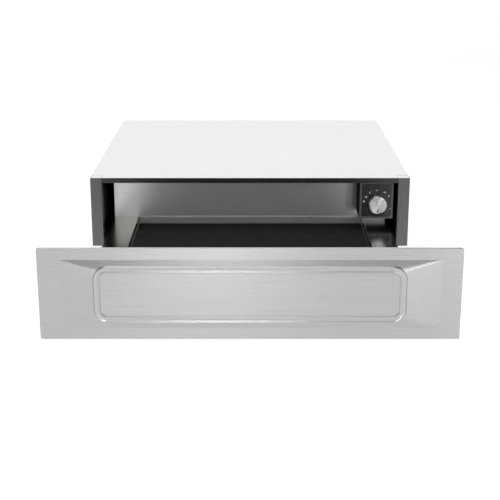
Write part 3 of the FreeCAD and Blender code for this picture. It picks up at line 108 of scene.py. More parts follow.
class Workpiece:
    """One mesh under the tools: a primitive or a node's copy, shaped in edit mode. The
    first two numbers are how near points are joined, and the rest are angles in degrees:
    between a flat's triangles, at an edge to round, and where shading stays smooth."""

    merge = 0.002
    weld_gap = 0.003
    flat = 0.4
    edge = 32
    shade = 34

    def __init__(self, name: str, piece: Object) -> None:
        """Names the mesh and puts its place into its points.

        Args:
            name: The piece's name.
            piece: A new primitive or a copy.
        """
        piece.name = name
        piece.data.name = name
        self.piece = piece
        self.hold()
        ops.object.transform_apply(location=True, rotation=True, scale=True)

    @classmethod
    def added(cls, name: str, kind: str, scale: Point = (1, 1, 1), **settings: Any) -> Self:
        """Adds one of Blender's primitives.

        Args:
            name: The piece's name.
            kind: The primitive.
            scale: How much its own axes are stretched.
            **settings: The operator's settings.

        Returns:
            The new workpiece.
        """
        lay_tools_down()
        getattr(ops.mesh, f"primitive_{kind}_add")(**settings)
        bpy.context.object.scale = scale
        return cls(name, bpy.context.object)

    @classmethod
    def block(cls, name: str, low: Point, high: Point) -> Self:
        """Adds a block between its lowest and highest corners."""
        return cls.added(name, "cube", tuple((b - a) * MM for a, b in zip(low, high)),
                         size=1, location=tuple((a + b) / 2 * MM for a, b in zip(low, high)))

    @classmethod
    def front_plate(cls, name: str, middle: Point, across: float, up: float) -> Self:
        """Adds a flat plate that faces the front, with its sizes along X and Z."""
        return cls.added(name, "plane", (across * MM, up * MM, 1), size=1,
                         location=Vector(middle) * MM, rotation=FACING)

    @classmethod
    def front_disc(cls, name: str, middle: Point, radius: float, depth: float,
                   corners: int) -> Self:
        """Adds a round blank whose axis runs front to back."""
        return cls.added(name, "cylinder", vertices=corners, radius=radius * MM,
                         depth=depth * MM, location=Vector(middle) * MM, rotation=FACING)

    @classmethod
    def copied(cls, name: str, source: Object) -> Self:
        """Copies a CAD node with its own mesh, and joins its loose triangles.

        Args:
            name: The piece's name.
            source: The CAD node.

        Returns:
            The copy, its flats whole.
        """
        lay_tools_down()
        piece = bpy.data.objects.new(name, source.data.copy())
        bpy.context.scene.collection.objects.link(piece)
        work = cls(name, piece)
        work.everything()
        ops.mesh.remove_doubles(threshold=cls.merge * MM)
        ops.mesh.dissolve_limited(angle_limit=math.radians(cls.flat))
        return work

    def hold(self) -> None:
        """Leaves edit mode and makes this the only selected object."""
        lay_tools_down()
        self.piece.select_set(True)
        bpy.context.view_layer.objects.active = self.piece

    def everything(self) -> None:
        """Goes to edit mode with the whole mesh selected."""
        self.hold()
        ops.object.mode_set(mode="EDIT")
        ops.mesh.select_all(action="SELECT")

    def pick(self, kind: Pick, test: Test) -> Self:
        """Goes to edit mode with the parts selected that a test accepts.

        Args:
            kind: Points, edges or faces.
            test: Gets its middle in millimetres, and its normal or an edge's direction.

        Returns:
            This workpiece.
        """
        self.hold()
        bpy.context.tool_settings.mesh_select_mode = tuple(kind is k for k in Pick)
        mesh = self.piece.data
        for group in (mesh.vertices, mesh.edges, mesh.polygons):
            group.foreach_set("select", [False] * len(group))
        if kind is Pick.FACES:
            for face in mesh.polygons:
                face.select = test(face.center / MM, face.normal)
        elif kind is Pick.EDGES:
            for edge in mesh.edges:
                start, end = (mesh.vertices[i].co for i in edge.vertices)
                edge.select = test((start + end) / 2 / MM, (end - start).normalized())
        else:
            for point in mesh.vertices:
                point.select = test(point.co / MM, point.normal)
        ops.object.mode_set(mode="EDIT")
        return self

    def pick_rim(self) -> Self:
        """Goes to edit mode with the open edges of the sheet selected.

        Returns:
            This workpiece.
        """
        self.hold()
        bpy.context.tool_settings.mesh_select_mode = (False, True, False)
        ops.object.mode_set(mode="EDIT")
        ops.mesh.select_all(action="DESELECT")
        ops.mesh.select_non_manifold()
        return self

    def extrude(self, move: Point) -> Self:
        """Extrudes what is selected and moves it."""
        ops.mesh.extrude_region_move(
            TRANSFORM_OT_translate={"value": Vector(move) * MM})
        return self

    def move(self, move: Point) -> Self:
        """Moves what is selected."""
        ops.transform.translate(value=Vector(move) * MM)
        return self

    def resize(self, factors: Point, centre: Point) -> Self:
        """Scales what is selected about a centre."""
        ops.transform.resize(value=factors, center_override=Vector(centre) * MM)
        return self

    def inset(self, inward: float, out: float = 0.0) -> Self:
        """Insets the selected face and raises or sinks it."""
        ops.mesh.inset(thickness=inward * MM, depth=out * MM)
        return self

    def round_off(self, width: float, steps: int, points: bool = False) -> Self:
        """Bevels the selected edges or points to a round."""
        ops.mesh.bevel(offset=width * MM, segments=steps, profile=0.5,
                           affect="VERTICES" if points else "EDGES", clamp_overlap=False)
        return self

    def weld(self) -> Self:
        """Merges points that lie on each other.

        Returns:
            This workpiece.
        """
        self.everything()
        ops.mesh.remove_doubles(threshold=self.weld_gap * MM)
        return self

    def modifier(self, kind: str, **settings: Any) -> Self:
        """Adds a modifier, sets it and applies it.

        Args:
            kind: The modifier's type.
            **settings: The modifier's settings.

        Returns:
            This workpiece.
        """
        self.hold()
        added = self.piece.modifiers.new(kind.title(), kind)
        for name, value in settings.items():
            setattr(added, name, value)
        ops.object.modifier_apply(modifier=added.name)
        return self

    def soften(self, width: float) -> Self:
        """Rounds every edge by a small width, as a press or a mould does."""
        self.modifier("BEVEL", width=width * MM, segments=2, limit_method="ANGLE",
                      angle_limit=math.radians(self.edge), use_clamp_overlap=False)
        return self.smooth(self.shade).flatten_shading()

    def smooth(self, angle: float = 40) -> Self:
        """Shades faces smooth where they meet at less than an angle.

        Args:
            angle: The angle in degrees.

        Returns:
            This workpiece.
        """
        self.hold()
        ops.object.shade_smooth_by_angle(angle=math.radians(angle))
        return self

    def flatten_shading(self) -> Self:
        """Lets large flat faces keep their own normal up to the small rounds."""
        return self.modifier("WEIGHTED_NORMAL", mode="FACE_AREA", weight=100, keep_sharp=True)

    def mount(self, body: str, slot: str, finish: "Finish | None", *nodes: str) -> Object:
        """Gives the piece its finish and puts it on its body.

        Args:
            body: The CAD body that it moves with.
            slot: The record's material slot.
            finish: Its finish, or None for the slot's own.
            *nodes: The CAD nodes that it stands for.

        Returns:
            The finished object.
        """
        self.hold()
        self.piece.data.materials.clear()
        self.piece.data.materials.append(material_of(finish or SLOT_FINISH[slot]))
        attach(self.piece, body)
        if nodes:
            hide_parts(*nodes)
        LOG.info("%s: %d faces on %s", self.piece.name, len(self.piece.data.polygons), body)
        return self.piece


def lay_tools_down() -> None:
    """Goes back to object mode with nothing selected."""
    if bpy.context.object is not None and bpy.context.object.mode != "OBJECT":
        ops.object.mode_set(mode="OBJECT")
    ops.object.select_all(action="DESELECT")


# ---- the finishes

def linear(colour: str, share: float = 1.0) -> tuple[float, float, float, float]:
    """Turns an sRGB hex colour to linear light.

    Args:
        colour: Six hex digits after a hash.
        share: How much of the colour's light is kept.

    Returns:
        Red, green, blue and an alpha of one.
    """
    parts = [int(colour[i:i + 2], 16) / 255 for i in (1, 3, 5)]
    light = [c / 12.92 if c <= 0.04045 else ((c + 0.055) / 1.055) ** 2.4 for c in parts]
    return (*(min(1.0, c * share) for c in light), 1.0)


def add_node(tree: NodeTree, kind: str, inputs: dict[str | int, Any] | None = None,
             **settings: Any) -> Node:
    """Adds a shader node with its settings, values and links.

    Args:
        tree: The material's or world's node tree.
        kind: The node's type, without the word ShaderNode.
        inputs: A value or an output socket for each named or numbered input.
        **settings: The node's own settings.

    Returns:
        The new node.
    """
    node = tree.nodes.new("ShaderNode" + kind)
    for name, value in settings.items():
        setattr(node, name, value)
    for name, value in (inputs or {}).items():
        if isinstance(value, NodeSocket):
            tree.links.new(value, node.inputs[name])
        else:
            node.inputs[name].default_value = value
    return node


def own_place(tree: NodeTree) -> NodeSocket:
    """Gives a place in the piece's own frame, in metres."""
    return add_node(tree, "TexCoord").outputs["Object"]


def grain_pattern(tree: NodeTree, spacing: Point, detail: float = 2.0,
                  warp: float = 0.0) -> NodeSocket:
    """Lays a noise over the piece whose grains have a real size.

    Args:
        tree: The material's node tree.
        spacing: The grain's size along X, Y and Z in millimetres.
        detail: How many finer layers it has.
        warp: How much the pattern is bent.

    Returns:
        The pattern's value from 0 to 1.
    """
    fitted = add_node(tree, "Mapping", {
        "Vector": own_place(tree), "Scale": tuple(1 / (size * MM) for size in spacing)})
    noise = add_node(tree, "TexNoise", {
        "Vector": fitted.outputs[0], "Scale": 1.0, "Detail": detail, "Distortion": warp})
    return noise.outputs[0]


@dataclass(frozen=True)
class Finish:
    """What each finish has. Tone and gloss are how far its pattern takes the colour's
    light and the roughness from their own, and depth is how high its relief is."""

    name: str
    colour: str
    roughness: float
    metal: float = 1.0
    tone: float = 0.06
    gloss: float = 0.05
    depth: float = 0.02
    strength: float = 0.5

    def blank(self) -> tuple[Material, NodeTree, Node]:
        """Starts the material.

        Returns:
            The material, its node tree and its shader.
        """
        material = bpy.data.materials.new(self.name)
        material.use_nodes = True
        tree = material.node_tree
        tree.nodes.clear()
        shader = add_node(tree, "BsdfPrincipled", {"Metallic": self.metal})
        add_node(tree, "OutputMaterial", {"Surface": shader.outputs["BSDF"]})
        return material, tree, shader

    def lay(self, tree: NodeTree, shader: Node, pattern: NodeSocket,
            relief: NodeSocket | None = None) -> None:
        """Lets one pattern change the colour and the gloss, and presses another in.

        Args:
            tree: The material's node tree.
            shader: Its shader.
            pattern: A value from 0 to 1 for the colour and the gloss.
            relief: A value from 0 to 1 for the height, or None.
        """
        ramp = add_node(tree, "ValToRGB", {"Fac": pattern})
        for stop, place, share in zip(ramp.color_ramp.elements, NOISE_SPAN,
                                      (1 - self.tone, 1 + self.tone)):
            stop.position, stop.color = place, linear(self.colour, share)
        tree.links.new(ramp.outputs["Color"], shader.inputs["Base Color"])
        spread = add_node(tree, "MapRange", {
            "Value": pattern, "From Min": NOISE_SPAN[0], "From Max": NOISE_SPAN[1],
            "To Min": self.roughness - self.gloss, "To Max": self.roughness + self.gloss})
        tree.links.new(spread.outputs[0], shader.inputs["Roughness"])
        if relief is not None:
            bump = add_node(tree, "Bump", {
                "Height": relief, "Distance": self.depth * MM, "Strength": self.strength})
            tree.links.new(bump.outputs[0], shader.inputs["Normal"])

    def make(self) -> Material:
        """Makes the material; each kind of finish has its own."""
        raise NotImplementedError


@cache
def material_of(finish: Finish) -> Material:
    """Gives a finish's material, made once."""
    return finish.make()


@dataclass(frozen=True)
class BrushedMetal(Finish):
    """Sheet or bar brushed with a belt: long straight scratches spread the highlights
    across them. Real ones are 0.05 mm wide, and are drawn about a millimetre wide."""

    tone: float = 0.05
    depth: float = 0.004
    grain: Axis = Axis.X
    streak: float = 1.0
    run: float = 70.0
    anisotropy: float = 0.6

    def make(self) -> Material:
        """Makes streaks along the grain.

        Returns:
            The material.
        """
        material, tree, shader = self.blank()
        spacing = [self.streak] * 3
        spacing[self.grain.value] = self.run
        streaks = grain_pattern(tree, tuple(spacing), detail=3.0)
        self.lay(tree, shader, streaks, streaks)
        shader.inputs["Anisotropic"].default_value = self.anisotropy
        # The highlight spreads across the grain. It leans, so as never to be square to a
        # face.
        across = {Axis.X: (0.03, 0.06, 1.0), Axis.Y: (1.0, 0.03, 0.06),
                  Axis.Z: (1.0, 0.06, 0.03)}[self.grain]
        lean = add_node(tree, "CombineXYZ", dict(zip("XYZ", across)))
        tree.links.new(lean.outputs[0], shader.inputs["Tangent"])
        return material


@dataclass(frozen=True)
class TurnedMetal(Finish):
    """Metal faced on a lathe: fine rings round the axis give a bow-tie highlight. Real
    rings are 0.1 mm apart and are drawn 0.5 mm apart."""

    tone: float = 0.08
    depth: float = 0.01
    axis: Pair = (0.0, 0.0)
    ring: float = 0.5
    anisotropy: float = 0.96

    def make(self) -> Material:
        """Makes rings by the distance from the axis, which runs along Y.

        Returns:
            The material.
        """
        material, tree, shader = self.blank()
        across = add_node(tree, "Mapping", {
            "Vector": own_place(tree), "Scale": (1, 0, 1),
            "Location": (-self.axis[0] * MM, 0, -self.axis[1] * MM)})
        radius = add_node(tree, "VectorMath", {0: across.outputs[0]}, operation="LENGTH")
        rings = add_node(tree, "TexNoise", {
            "W": radius.outputs["Value"], "Scale": 1 / (self.ring * MM), "Detail": 2.0},
            noise_dimensions="1D")
        self.lay(tree, shader, rings.outputs[0], rings.outputs[0])
        # A quarter turn spreads the highlight across the rings.
        shader.inputs["Anisotropic"].default_value = self.anisotropy
        shader.inputs["Anisotropic Rotation"].default_value = 0.25
        around = add_node(tree, "Tangent", direction_type="RADIAL", axis="Y")
        tree.links.new(around.outputs[0], shader.inputs["Tangent"])
        return material


@dataclass(frozen=True)
class SpangledZinc(Finish):
    """Hot-dip galvanised sheet: frozen zinc crystals, each with its own grey and gloss,
    under a fine rolling grain."""

    tone: float = 0.03
    gloss: float = 0.03
    strength: float = 0.3
    crystal: float = 8.0
    grain: float = 2.0

    def make(self) -> Material:
        """Makes crystal cells with the grain over them.

        Returns:
            The material.
        """
        material, tree, shader = self.blank()
        cells = add_node(tree, "TexVoronoi", {
            "Vector": own_place(tree), "Scale": 1 / (self.crystal * MM)})
        grey = add_node(tree, "RGBToBW", {"Color": cells.outputs["Color"]})
        self.lay(tree, shader, grey.outputs[0], grain_pattern(tree, (self.grain,) * 3))
        return material


@dataclass(frozen=True)
class CloudedFinish(Finish):
    """One colour with soft clouding, under a fine relief."""

    cloud: float = 6.0
    layers: float = 4.0
    fine: float = 0.8
    coat: float = 0.0
    shine: float = 0.5

    def make(self) -> Material:
        """Makes the clouding and the relief.

        Returns:
            The material.
        """
        material, tree, shader = self.blank()
        self.lay(tree, shader, grain_pattern(tree, (self.cloud,) * 3, self.layers),
                 grain_pattern(tree, (self.fine,) * 3))
        shader.inputs["Coat Weight"].default_value = self.coat
        shader.inputs["Specular IOR Level"].default_value = self.shine
        return material


@dataclass(frozen=True)
class PlatedMetal(CloudedFinish):
    """Plated, drawn or cast metal, with faint pits."""

    tone: float = 0.08
    gloss: float = 0.07
    depth: float = 0.01
    strength: float = 0.4


@dataclass(frozen=True)
class MouldedSurface(CloudedFinish):
    """Moulded plastic, rubber or silicone, or enamel, with a spark-eroded or matt face."""

    metal: float = 0.0
    cloud: float = 25.0
    layers: float = 5.0
    fine: float = 0.7


@dataclass(frozen=True)
class StackedMetal(Finish):
    """Sheets or wires that lie in rows: thin dark lines between them. Real ones are
    0.5 mm apart and are drawn 1 mm apart."""

    tone: float = 0.25
    gloss: float = 0.08
    depth: float = 0.1
    strength: float = 0.6
    rows: Axis = Axis.Y
    pitch: float = 1.0
    unevenness: float = 0.3

    def make(self) -> Material:
        """Makes the rows along one axis.

        Returns:
            The material.
        """
        material, tree, shader = self.blank()
        # A wave of scale 1 repeats every 2 pi / 20 of a unit.
        lines = add_node(tree, "TexWave", {
            "Vector": own_place(tree), "Scale": math.pi / 10 / (self.pitch * MM),
            "Distortion": self.unevenness, "Detail": 1.0}, bands_direction=self.rows.name)
        self.lay(tree, shader, lines.outputs["Fac"], lines.outputs["Fac"])
        return material


@dataclass(frozen=True)
class MineralFelt(Finish):
    """Mineral wool mat: tangled fibres in tufts of about 5 mm, without gloss."""

    metal: float = 0.0
    tone: float = 0.3
    gloss: float = 0.03
    depth: float = 1.0
    strength: float = 0.8
    tuft: Point = (6.0, 1.2, 1.2)
    tangle: float = 1.5
    sheen: float = 0.2

    def make(self) -> Material:
        """Makes long bent fibres.

        Returns:
            The material.
        """
        material, tree, shader = self.blank()
        fibres = grain_pattern(tree, self.tuft, detail=6.0, warp=self.tangle)
        self.lay(tree, shader, fibres, fibres)
        shader.inputs["Sheen Weight"].default_value = self.sheen
        return material


@dataclass(frozen=True)
class StudioPaper(Finish):
    """Matt white background paper. Where it is seen, straight or in metal, it adds some
    white of its own, so that only the shadow is darker. Far from the lamps it adds
    more."""

    metal: float = 0.0
    tone: float = 0.005
    gloss: float = 0.01
    fleck: float = 40.0
    lift: float = 0.7
    far_lift: float = 0.85
    far_from: float = 2500.0
    far_to: float = 6000.0

    def make(self) -> Material:
        """Makes the paper.

        Returns:
            The material.
        """
        material, tree, shader = self.blank()
        self.lay(tree, shader, grain_pattern(tree, (self.fleck,) * 3))
        path = add_node(tree, "LightPath")
        seen = path.outputs["Is Camera Ray"]
        for other in ("Is Glossy Ray", "Is Transmission Ray"):
            seen = add_node(tree, "Math", {0: seen, 1: path.outputs[other]},
                            operation="MAXIMUM").outputs[0]
        distance = add_node(tree, "VectorMath", {0: own_place(tree)}, operation="LENGTH")
        white = add_node(tree, "MapRange", {
            "Value": distance.outputs["Value"], "From Min": self.far_from * MM,
            "From Max": self.far_to * MM, "To Min": self.lift,
            "To Max": max(self.lift, self.far_lift)})
        own = add_node(tree, "Math", {0: seen, 1: white.outputs[0]}, operation="MULTIPLY")
        shader.inputs["Emission Color"].default_value = linear("#ffffff")
        tree.links.new(own.outputs[0], shader.inputs["Emission Strength"])
        return material


# Cold-rolled stainless sheet, belt-brushed along its length.
FRONT_STEEL = BrushedMetal("stainless_front_brushed", "#b2b3b5", 0.3, gloss=0.03,
                           depth=0.001, streak=0.9, run=90.0, anisotropy=0.7)
# Bright stainless sheet, brushed front to back.
TRAY_STEEL = BrushedMetal("stainless_tray_brushed", "#dbdad7", 0.19, tone=0.06, gloss=0.03,
                          grain=Axis.Y, anisotropy=0.4)
# Stainless sheet, brushed from side to side.
WALL_STEEL = BrushedMetal("stainless_wall_brushed", "#eeedeb", 0.36, gloss=0.02, run=50.0,
                          anisotropy=0.5)
# Brushed steel in dark grey.
POST_STEEL = BrushedMetal("dark_steel_post", "#6a6a6d", 0.38, tone=0.18, grain=Axis.Z,
                          run=60.0)
# A darker copy of the post steel for the front rail: painted shade.
SHADED_RAIL_STEEL = BrushedMetal("dark_steel_rail", "#444446", 0.36, tone=0.12)

SLOT_FINISH: dict[str, Finish] = {
    "stainless_front": FRONT_STEEL,
    "stainless_tray": TRAY_STEEL,
    "dark_steel": POST_STEEL,
    # Sheet dipped in zinc, with its spangle.
    "galvanised_steel": SpangledZinc("galvanised_sheet", "#e2e4e6", 0.34),
    # Sheet with a matt black stove coat: almost black at every angle.
    "blackened_steel": MouldedSurface("black_coated_sheet", "#0e0e0e", 0.8, shine=0.2),
    # Bright zinc, electroplated: bluish grey.
    "zinc_steel": PlatedMetal("zinc_plated_steel", "#b4b9be", 0.32),
    # Hardened and polished balls and their nickel-bright cages.
    "ball_steel": PlatedMetal("polished_ball_steel", "#c6c7ca", 0.14, tone=0.04),
    # Screws and studs of plain bright steel.
    "screw_steel": PlatedMetal("bright_screw_steel", "#bfc0c3", 0.24, cloud=2.0),
    # Pressed silicone sheet, matt and slightly dusty.
    "silicone_mat": MouldedSurface("silicone_mat_black", "#151411", 0.8, tone=0.12,
                                   depth=0.04, fine=1.0),
    # Extruded silicone, dark grey.
    "silicone_seal": MouldedSurface("silicone_seal_grey", "#3a3a3a", 0.5),
    # Natural rubber, moulded matt.
    "foot_rubber": MouldedSurface("moulded_rubber", "#171717", 0.75, fine=1.2),
    # Rock wool, bound to a mat.
    "mineral_wool": MineralFelt("mineral_wool_mat", "#b9a878", 0.95),
    # Polycarbonate sheet with a hard gloss coat.
    "fascia_black": MouldedSurface("fascia_polycarbonate", "#080808", 0.22, depth=0.004,
                                   coat=0.2),
    # Die-cast frame with satin grey paint.
    "bezel_grey": MouldedSurface("bezel_satin_paint", "#626264", 0.4, depth=0.01),
    # Aluminium bar, faced on a lathe and clear anodised.
    "turned_aluminium": TurnedMetal("knob_turned_aluminium", "#d8d8da", 0.29, axis=KNOB_AXIS),
    # Rolled aluminium with its mill finish.
    "fan_aluminium": PlatedMetal("mill_aluminium", "#c2c4c6", 0.35, cloud=10.0),
    # Nickel alloy tube, tinted by heat.
    "element_sheath": PlatedMetal("element_sheath_tinted", "#5f5a4e", 0.42, tone=0.3,
                                  cloud=9.0),
    # Electrical steel, punched and stacked.
    "lamination": StackedMetal("stacked_laminations", "#4f5358", 0.45),
    # Enamelled copper wire, wound side by side.
    "copper_coil": StackedMetal("wound_copper_wire", "#b0622f", 0.3, rows=Axis.Z),
    # Drawn copper tube, a little dulled.
    "copper_tube": PlatedMetal("drawn_copper", "#c07a52", 0.28),
    # Glass-filled polyamide, moulded black or white.
    "black_plastic": MouldedSurface("moulded_black_polyamide", "#161616", 0.55),
    "white_plastic": MouldedSurface("moulded_white_polyamide", "#dcdad2", 0.45),
}
# White ink, screen-printed a few hundredths thick.
SIGN_INK = MouldedSurface("screen_printed_ink", "#f0f0ec", 0.6, tone=0.1, depth=0.002,
                          cloud=1.0)
# Black paint that fills the knob's mark.
POINTER_INK = MouldedSurface("filled_black_paint", "#101010", 0.5, depth=0.01)
# Background paper: pale underfoot, and lit to white behind.
FLOOR_PAPER = StudioPaper("background_paper_floor", "#cccccc", 0.9)
BACK_PAPER = StudioPaper("background_paper_lit", "#8a8a8a", 0.9, lift=1.0)


def slot_of(node: str) -> str:
    """Gives the record's material slot of a CAD node."""
    return next(part["material_slot"] for part in frame["record"]["subparts"]
                if part["node"] == node)


def box_of(node: str) -> tuple[Vector, Vector]:
    """Gives a CAD node's lowest and highest corners in millimetres."""
    low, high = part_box(node)
    return Vector(low) / MM, Vector(high) / MM


def soft_copy(node: str, name: str, width: float, finish: Finish | None = None) -> Object:
    """Copies a CAD node, gives its edges their small rounding and mounts the copy.

    Args:
        node: The CAD node.
        name: The piece's name.
        width: The rounding's width.
        finish: Its finish, or None for its slot's own.

    Returns:
        The finished piece.
    """
    source = frame["nodes"][node]
    return Workpiece.copied(name, source).soften(width).mount(
        source["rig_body"], slot_of(node), finish, node)


# ---- the sub-assemblies

@dataclass
class PressedFront:
    """The drawer's stainless front: flat border, four slopes, raised field and bead."""

    half: float = 298.5
    low: float = -11.0
    high: float = 124.0
    face: float = -695.0
    corner: float = 3.0
    corner_steps: int = 4
    border_side: float = 29.0
    border_end: float = 17.0
    slope_side: float = 49.0
    slope_end: float = 8.0
    relief: float = 4.0
    field_corner: float = 20.0
    arc_steps: int = 12
    hip_round: float = 1.0
    hip_end: Pair = (6.0, 1.5)
    bead_rise: float = 0.6
    bead_flank: float = 0.9
    bead_round: float = 1.2
    bead_steps: int = 5
    bead_valley: tuple[Pair, ...] = (
        (1.0, -0.16), (1.2, -0.42), (1.2, -0.12), (1.2, 0.12), (1.2, 0.42), (1.0, 0.16))
    bead_end: float = 0.05
    fold: float = 5.0
    fold_round: float = 0.9
    fold_steps: int = 3
    sheet: float = 1.0

    @property
    def middle(self) -> float:
        """Gives the height of the panel's middle."""
        return (self.low + self.high) / 2

    @property
    def half_height(self) -> float:
        """Gives half the panel's height."""
        return (self.high - self.low) / 2

    @property
    def relief_half(self) -> Pair:
        """Gives the relief's half sizes across and up."""
        return self.half - self.border_side, self.half_height - self.border_end

    def blank(self) -> Workpiece:
        """Starts with the field, its corners rounded.

        Returns:
            The field's plate.
        """
        across, up = self.relief_half
        work = Workpiece.front_plate(
            "front_panel", (0, self.face - self.relief, self.middle),
            2 * (across - self.slope_side), 2 * (up - self.slope_end))
        work.pick(Pick.POINTS, lambda place, normal: True)
        return work.round_off(self.field_corner, self.arc_steps, points=True)

    def press_bead(self, work: Workpiece) -> None:
        """Raises the bead round the field, with a shallow valley along its crest.

        Args:
            work: The field's plate.
        """
        work.pick(Pick.FACES, lambda place, normal: True)
        rounding = self.round_steps()
        work.inset(self.bead_flank, self.bead_rise)
        for inward, rise in rounding + list(self.bead_valley):
            work.inset(inward, rise)
        for inward, rise in reversed(rounding):
            work.inset(inward, -rise)
        work.inset(self.bead_end, -self.bead_rise)

    def round_steps(self) -> list[Pair]:
        """Divides the bead's quarter round into inset steps.

        Returns:
            How far each step goes inward and out.
        """
        turns = [math.pi / 2 * i / self.bead_steps for i in range(self.bead_steps + 1)]
        places = [(self.bead_round * (1 - math.cos(t)), self.bead_round * math.sin(t))
                  for t in turns]
        return [(b[0] - a[0], b[1] - a[1]) for a, b in zip(places, places[1:])]

    def arc_place(self, turn: float) -> Pair:
        """Gives how far the field's corner is inside the relief's outline."""
        return (self.slope_side + self.field_corner * (1 - math.sin(turn)),
                self.slope_end + self.field_corner * (1 - math.cos(turn)))

    def arc_point(self, step: int) -> Point:
        """Follows the field's corner from its upper to its outer end.

        Args:
            step: How many of the arc's steps from its upper end.

        Returns:
            How far the point is inside the relief's outline across and up, and how far
            it stands out where two slopes meet in a soft hip.
        """
        hip = self.arc_place(math.pi / 4)
        across, up = self.arc_place(math.pi / 2 * step / self.arc_steps)
        side, end = self.relief * across / hip[0], self.relief * up / hip[1]
        softened = max(self.hip_round - abs(side - end), 0) ** 2 / (4 * self.hip_round)
        return across, up, min(side, end) - softened

    def at_point(self, point: Point, plane: float) -> Test:
        """Finds a point of the arc in all four corners.

        Args:
            point: What arc_point gives for it.
            plane: Where it lies along Y.

        Returns:
            The test for picking it.
        """
        across, up = self.relief_half
        return lambda place, normal: (
            abs(place.y - plane) < TOUCH
            and abs(abs(place.x) - across + point[0]) < NEAR
            and abs(abs(place.z - self.middle) - up + point[1]) < NEAR)

    def draw_slopes(self, work: Workpiece) -> None:
        """Brings the field's edge back to the border in four slopes with soft hips.

        Args:
            work: The field with its bead.
        """
        across, up = self.relief_half
        arc = [self.arc_point(step) for step in range(self.arc_steps + 1)]
        for point in arc:
            # The field lies in the same plane, so its edge is picked point by point.
            work.pick(Pick.POINTS, self.at_point(point, self.face - self.relief))
            work.move((0, self.relief - point[2], 0))
        work.pick_rim().extrude((0, 0, 0)).resize((1, 0, 1), (0, self.face, 0))
        # The hip's foot lies in the middle third of the arc.
        first, last = self.arc_steps // 3, self.arc_steps - self.arc_steps // 3
        for step, point in enumerate(arc):
            share = min(1.0, max(0.0, (step - first) / (last - first)))
            at = self.at_point(point, self.face)
            for side, end in CORNERS:
                work.pick(Pick.POINTS, lambda place, normal: (
                    at(place, normal) and place.x * side > 0
                    and (place.z - self.middle) * end > 0))
                work.resize((0, 0, 0), (
                    side * (across - self.hip_end[0] * (1 - share)), self.face,
                    self.middle + end * (up - self.hip_end[1] * share)))
        work.weld()

    def fold_edges(self, work: Workpiece) -> None:
        """Adds the flat border as two C-shaped faces and folds its edges back.

        Args:
            work: The field with its slopes.
        """
        across, up = self.relief_half
        work.pick(Pick.EDGES, lambda place, way: (
            self.on_face(place) and abs(way.x) > ALONG and abs(place.x) < TOUCH))
        ops.mesh.subdivide(number_cuts=1)
        work.pick_rim().extrude((0, 0, 0)).resize(
            (self.half / across, 1, self.half_height / up), (0, self.face, self.middle))
        for side, end in CORNERS:
            work.pick(Pick.POINTS, lambda place, normal: (
                self.on_face(place) and place.x * side > across + TOUCH
                and (place.z - self.middle) * end > up + TOUCH))
            work.resize((0, 0, 0), (side * self.half, self.face,
                                    self.middle + end * self.half_height))
        work.weld()
        work.pick(Pick.EDGES, lambda place, way: (
            self.on_face(place) and abs(place.x) > across + TOUCH
            and abs(way.x) > ACROSS and abs(way.z) > ACROSS))
        ops.mesh.dissolve_edges(use_verts=False)
        work.pick(Pick.POINTS, lambda place, normal: abs(place.x) > self.half - TOUCH)
        work.round_off(self.corner, self.corner_steps, points=True)
        work.pick_rim().extrude((0, self.fold, 0))
        work.pick(Pick.EDGES, lambda place, way: self.on_face(place) and self.is_outline(place))
        work.round_off(self.fold_round, self.fold_steps)

    def on_face(self, place: Vector) -> bool:
        """Tells whether a place lies in the plane of the flat border."""
        return abs(place.y - self.face) < TOUCH

    def is_outline(self, place: Vector) -> bool:
        """Tells whether an edge's middle lies on the panel's outline."""
        margin = self.corner + TOUCH
        return (abs(place.x) > self.half - margin
                or abs(place.z - self.middle) > self.half_height - margin)

    def make(self) -> None:
        """Builds the front and dresses it."""
        work = self.blank()
        self.press_bead(work)
        self.draw_slopes(work)
        self.fold_edges(work)
        work.modifier("SOLIDIFY", thickness=self.sheet * MM, offset=-1).smooth()
        work.pick(Pick.EDGES, lambda place, way: (
            self.on_face(place) and not self.is_outline(place) and abs(place.x) > TOUCH))
        ops.mesh.mark_sharp()
        work.flatten_shading().mount("drawer", "stainless_front", FRONT_STEEL, "front_skin")


@dataclass
class DrawerBox:
    """The tray with its rims, its rear wall and the mat in its floor."""

    sheet_round: float = 0.3
    mat_corner: float = 4.0
    mat_steps: int = 6
    mat_round: float = 0.7
    round_steps: int = 3
    mat_rim: float = 2.5
    mat_slope: Pair = (0.5, -0.25)
    mat_margin: float = 1.3
    mat_shade: float = 35

    def make(self) -> None:
        """Builds the pieces of the drawer that carry the load."""
        self.finish_recess_ends(
            soft_copy("drawer_tray", "tray_pressing", self.sheet_round, TRAY_STEEL))
        soft_copy("drawer_rear_wall", "tray_rear_wall", self.sheet_round, WALL_STEEL)
        self.lay_mat()

    def finish_recess_ends(self, tray: Object) -> None:
        """Gives the recess's front and rear ends the rear wall's finish."""
        tray.data.materials.append(material_of(WALL_STEEL))
        for face in tray.data.polygons:
            face.material_index = 1 if abs(face.normal.y) > ALONG else 0

    def lay_mat(self) -> None:
        """Builds the mat with round corners and a soft upper edge."""
        low, high = box_of("drawer_mat")
        mat = Workpiece.block("floor_mat", tuple(low), tuple(high))
        mat.pick(Pick.EDGES, lambda place, way: abs(way.z) > ALONG)
        mat.round_off(self.mat_corner, self.mat_steps)
        mat.pick(Pick.FACES, lambda place, normal: normal.z > ALONG)
        mat.inset(self.mat_rim).inset(*self.mat_slope)
        mat.pick(Pick.EDGES, lambda place, way: (
            place.z > high.z - TOUCH and abs(way.z) < ACROSS
            and any(min(place[i] - low[i], high[i] - place[i]) < self.mat_margin
                    for i in (0, 1))))
        mat.round_off(self.mat_round, self.round_steps)
        mat.smooth(self.mat_shade).flatten_shading()
        mat.mount("drawer", "silicone_mat", None, "drawer_mat")


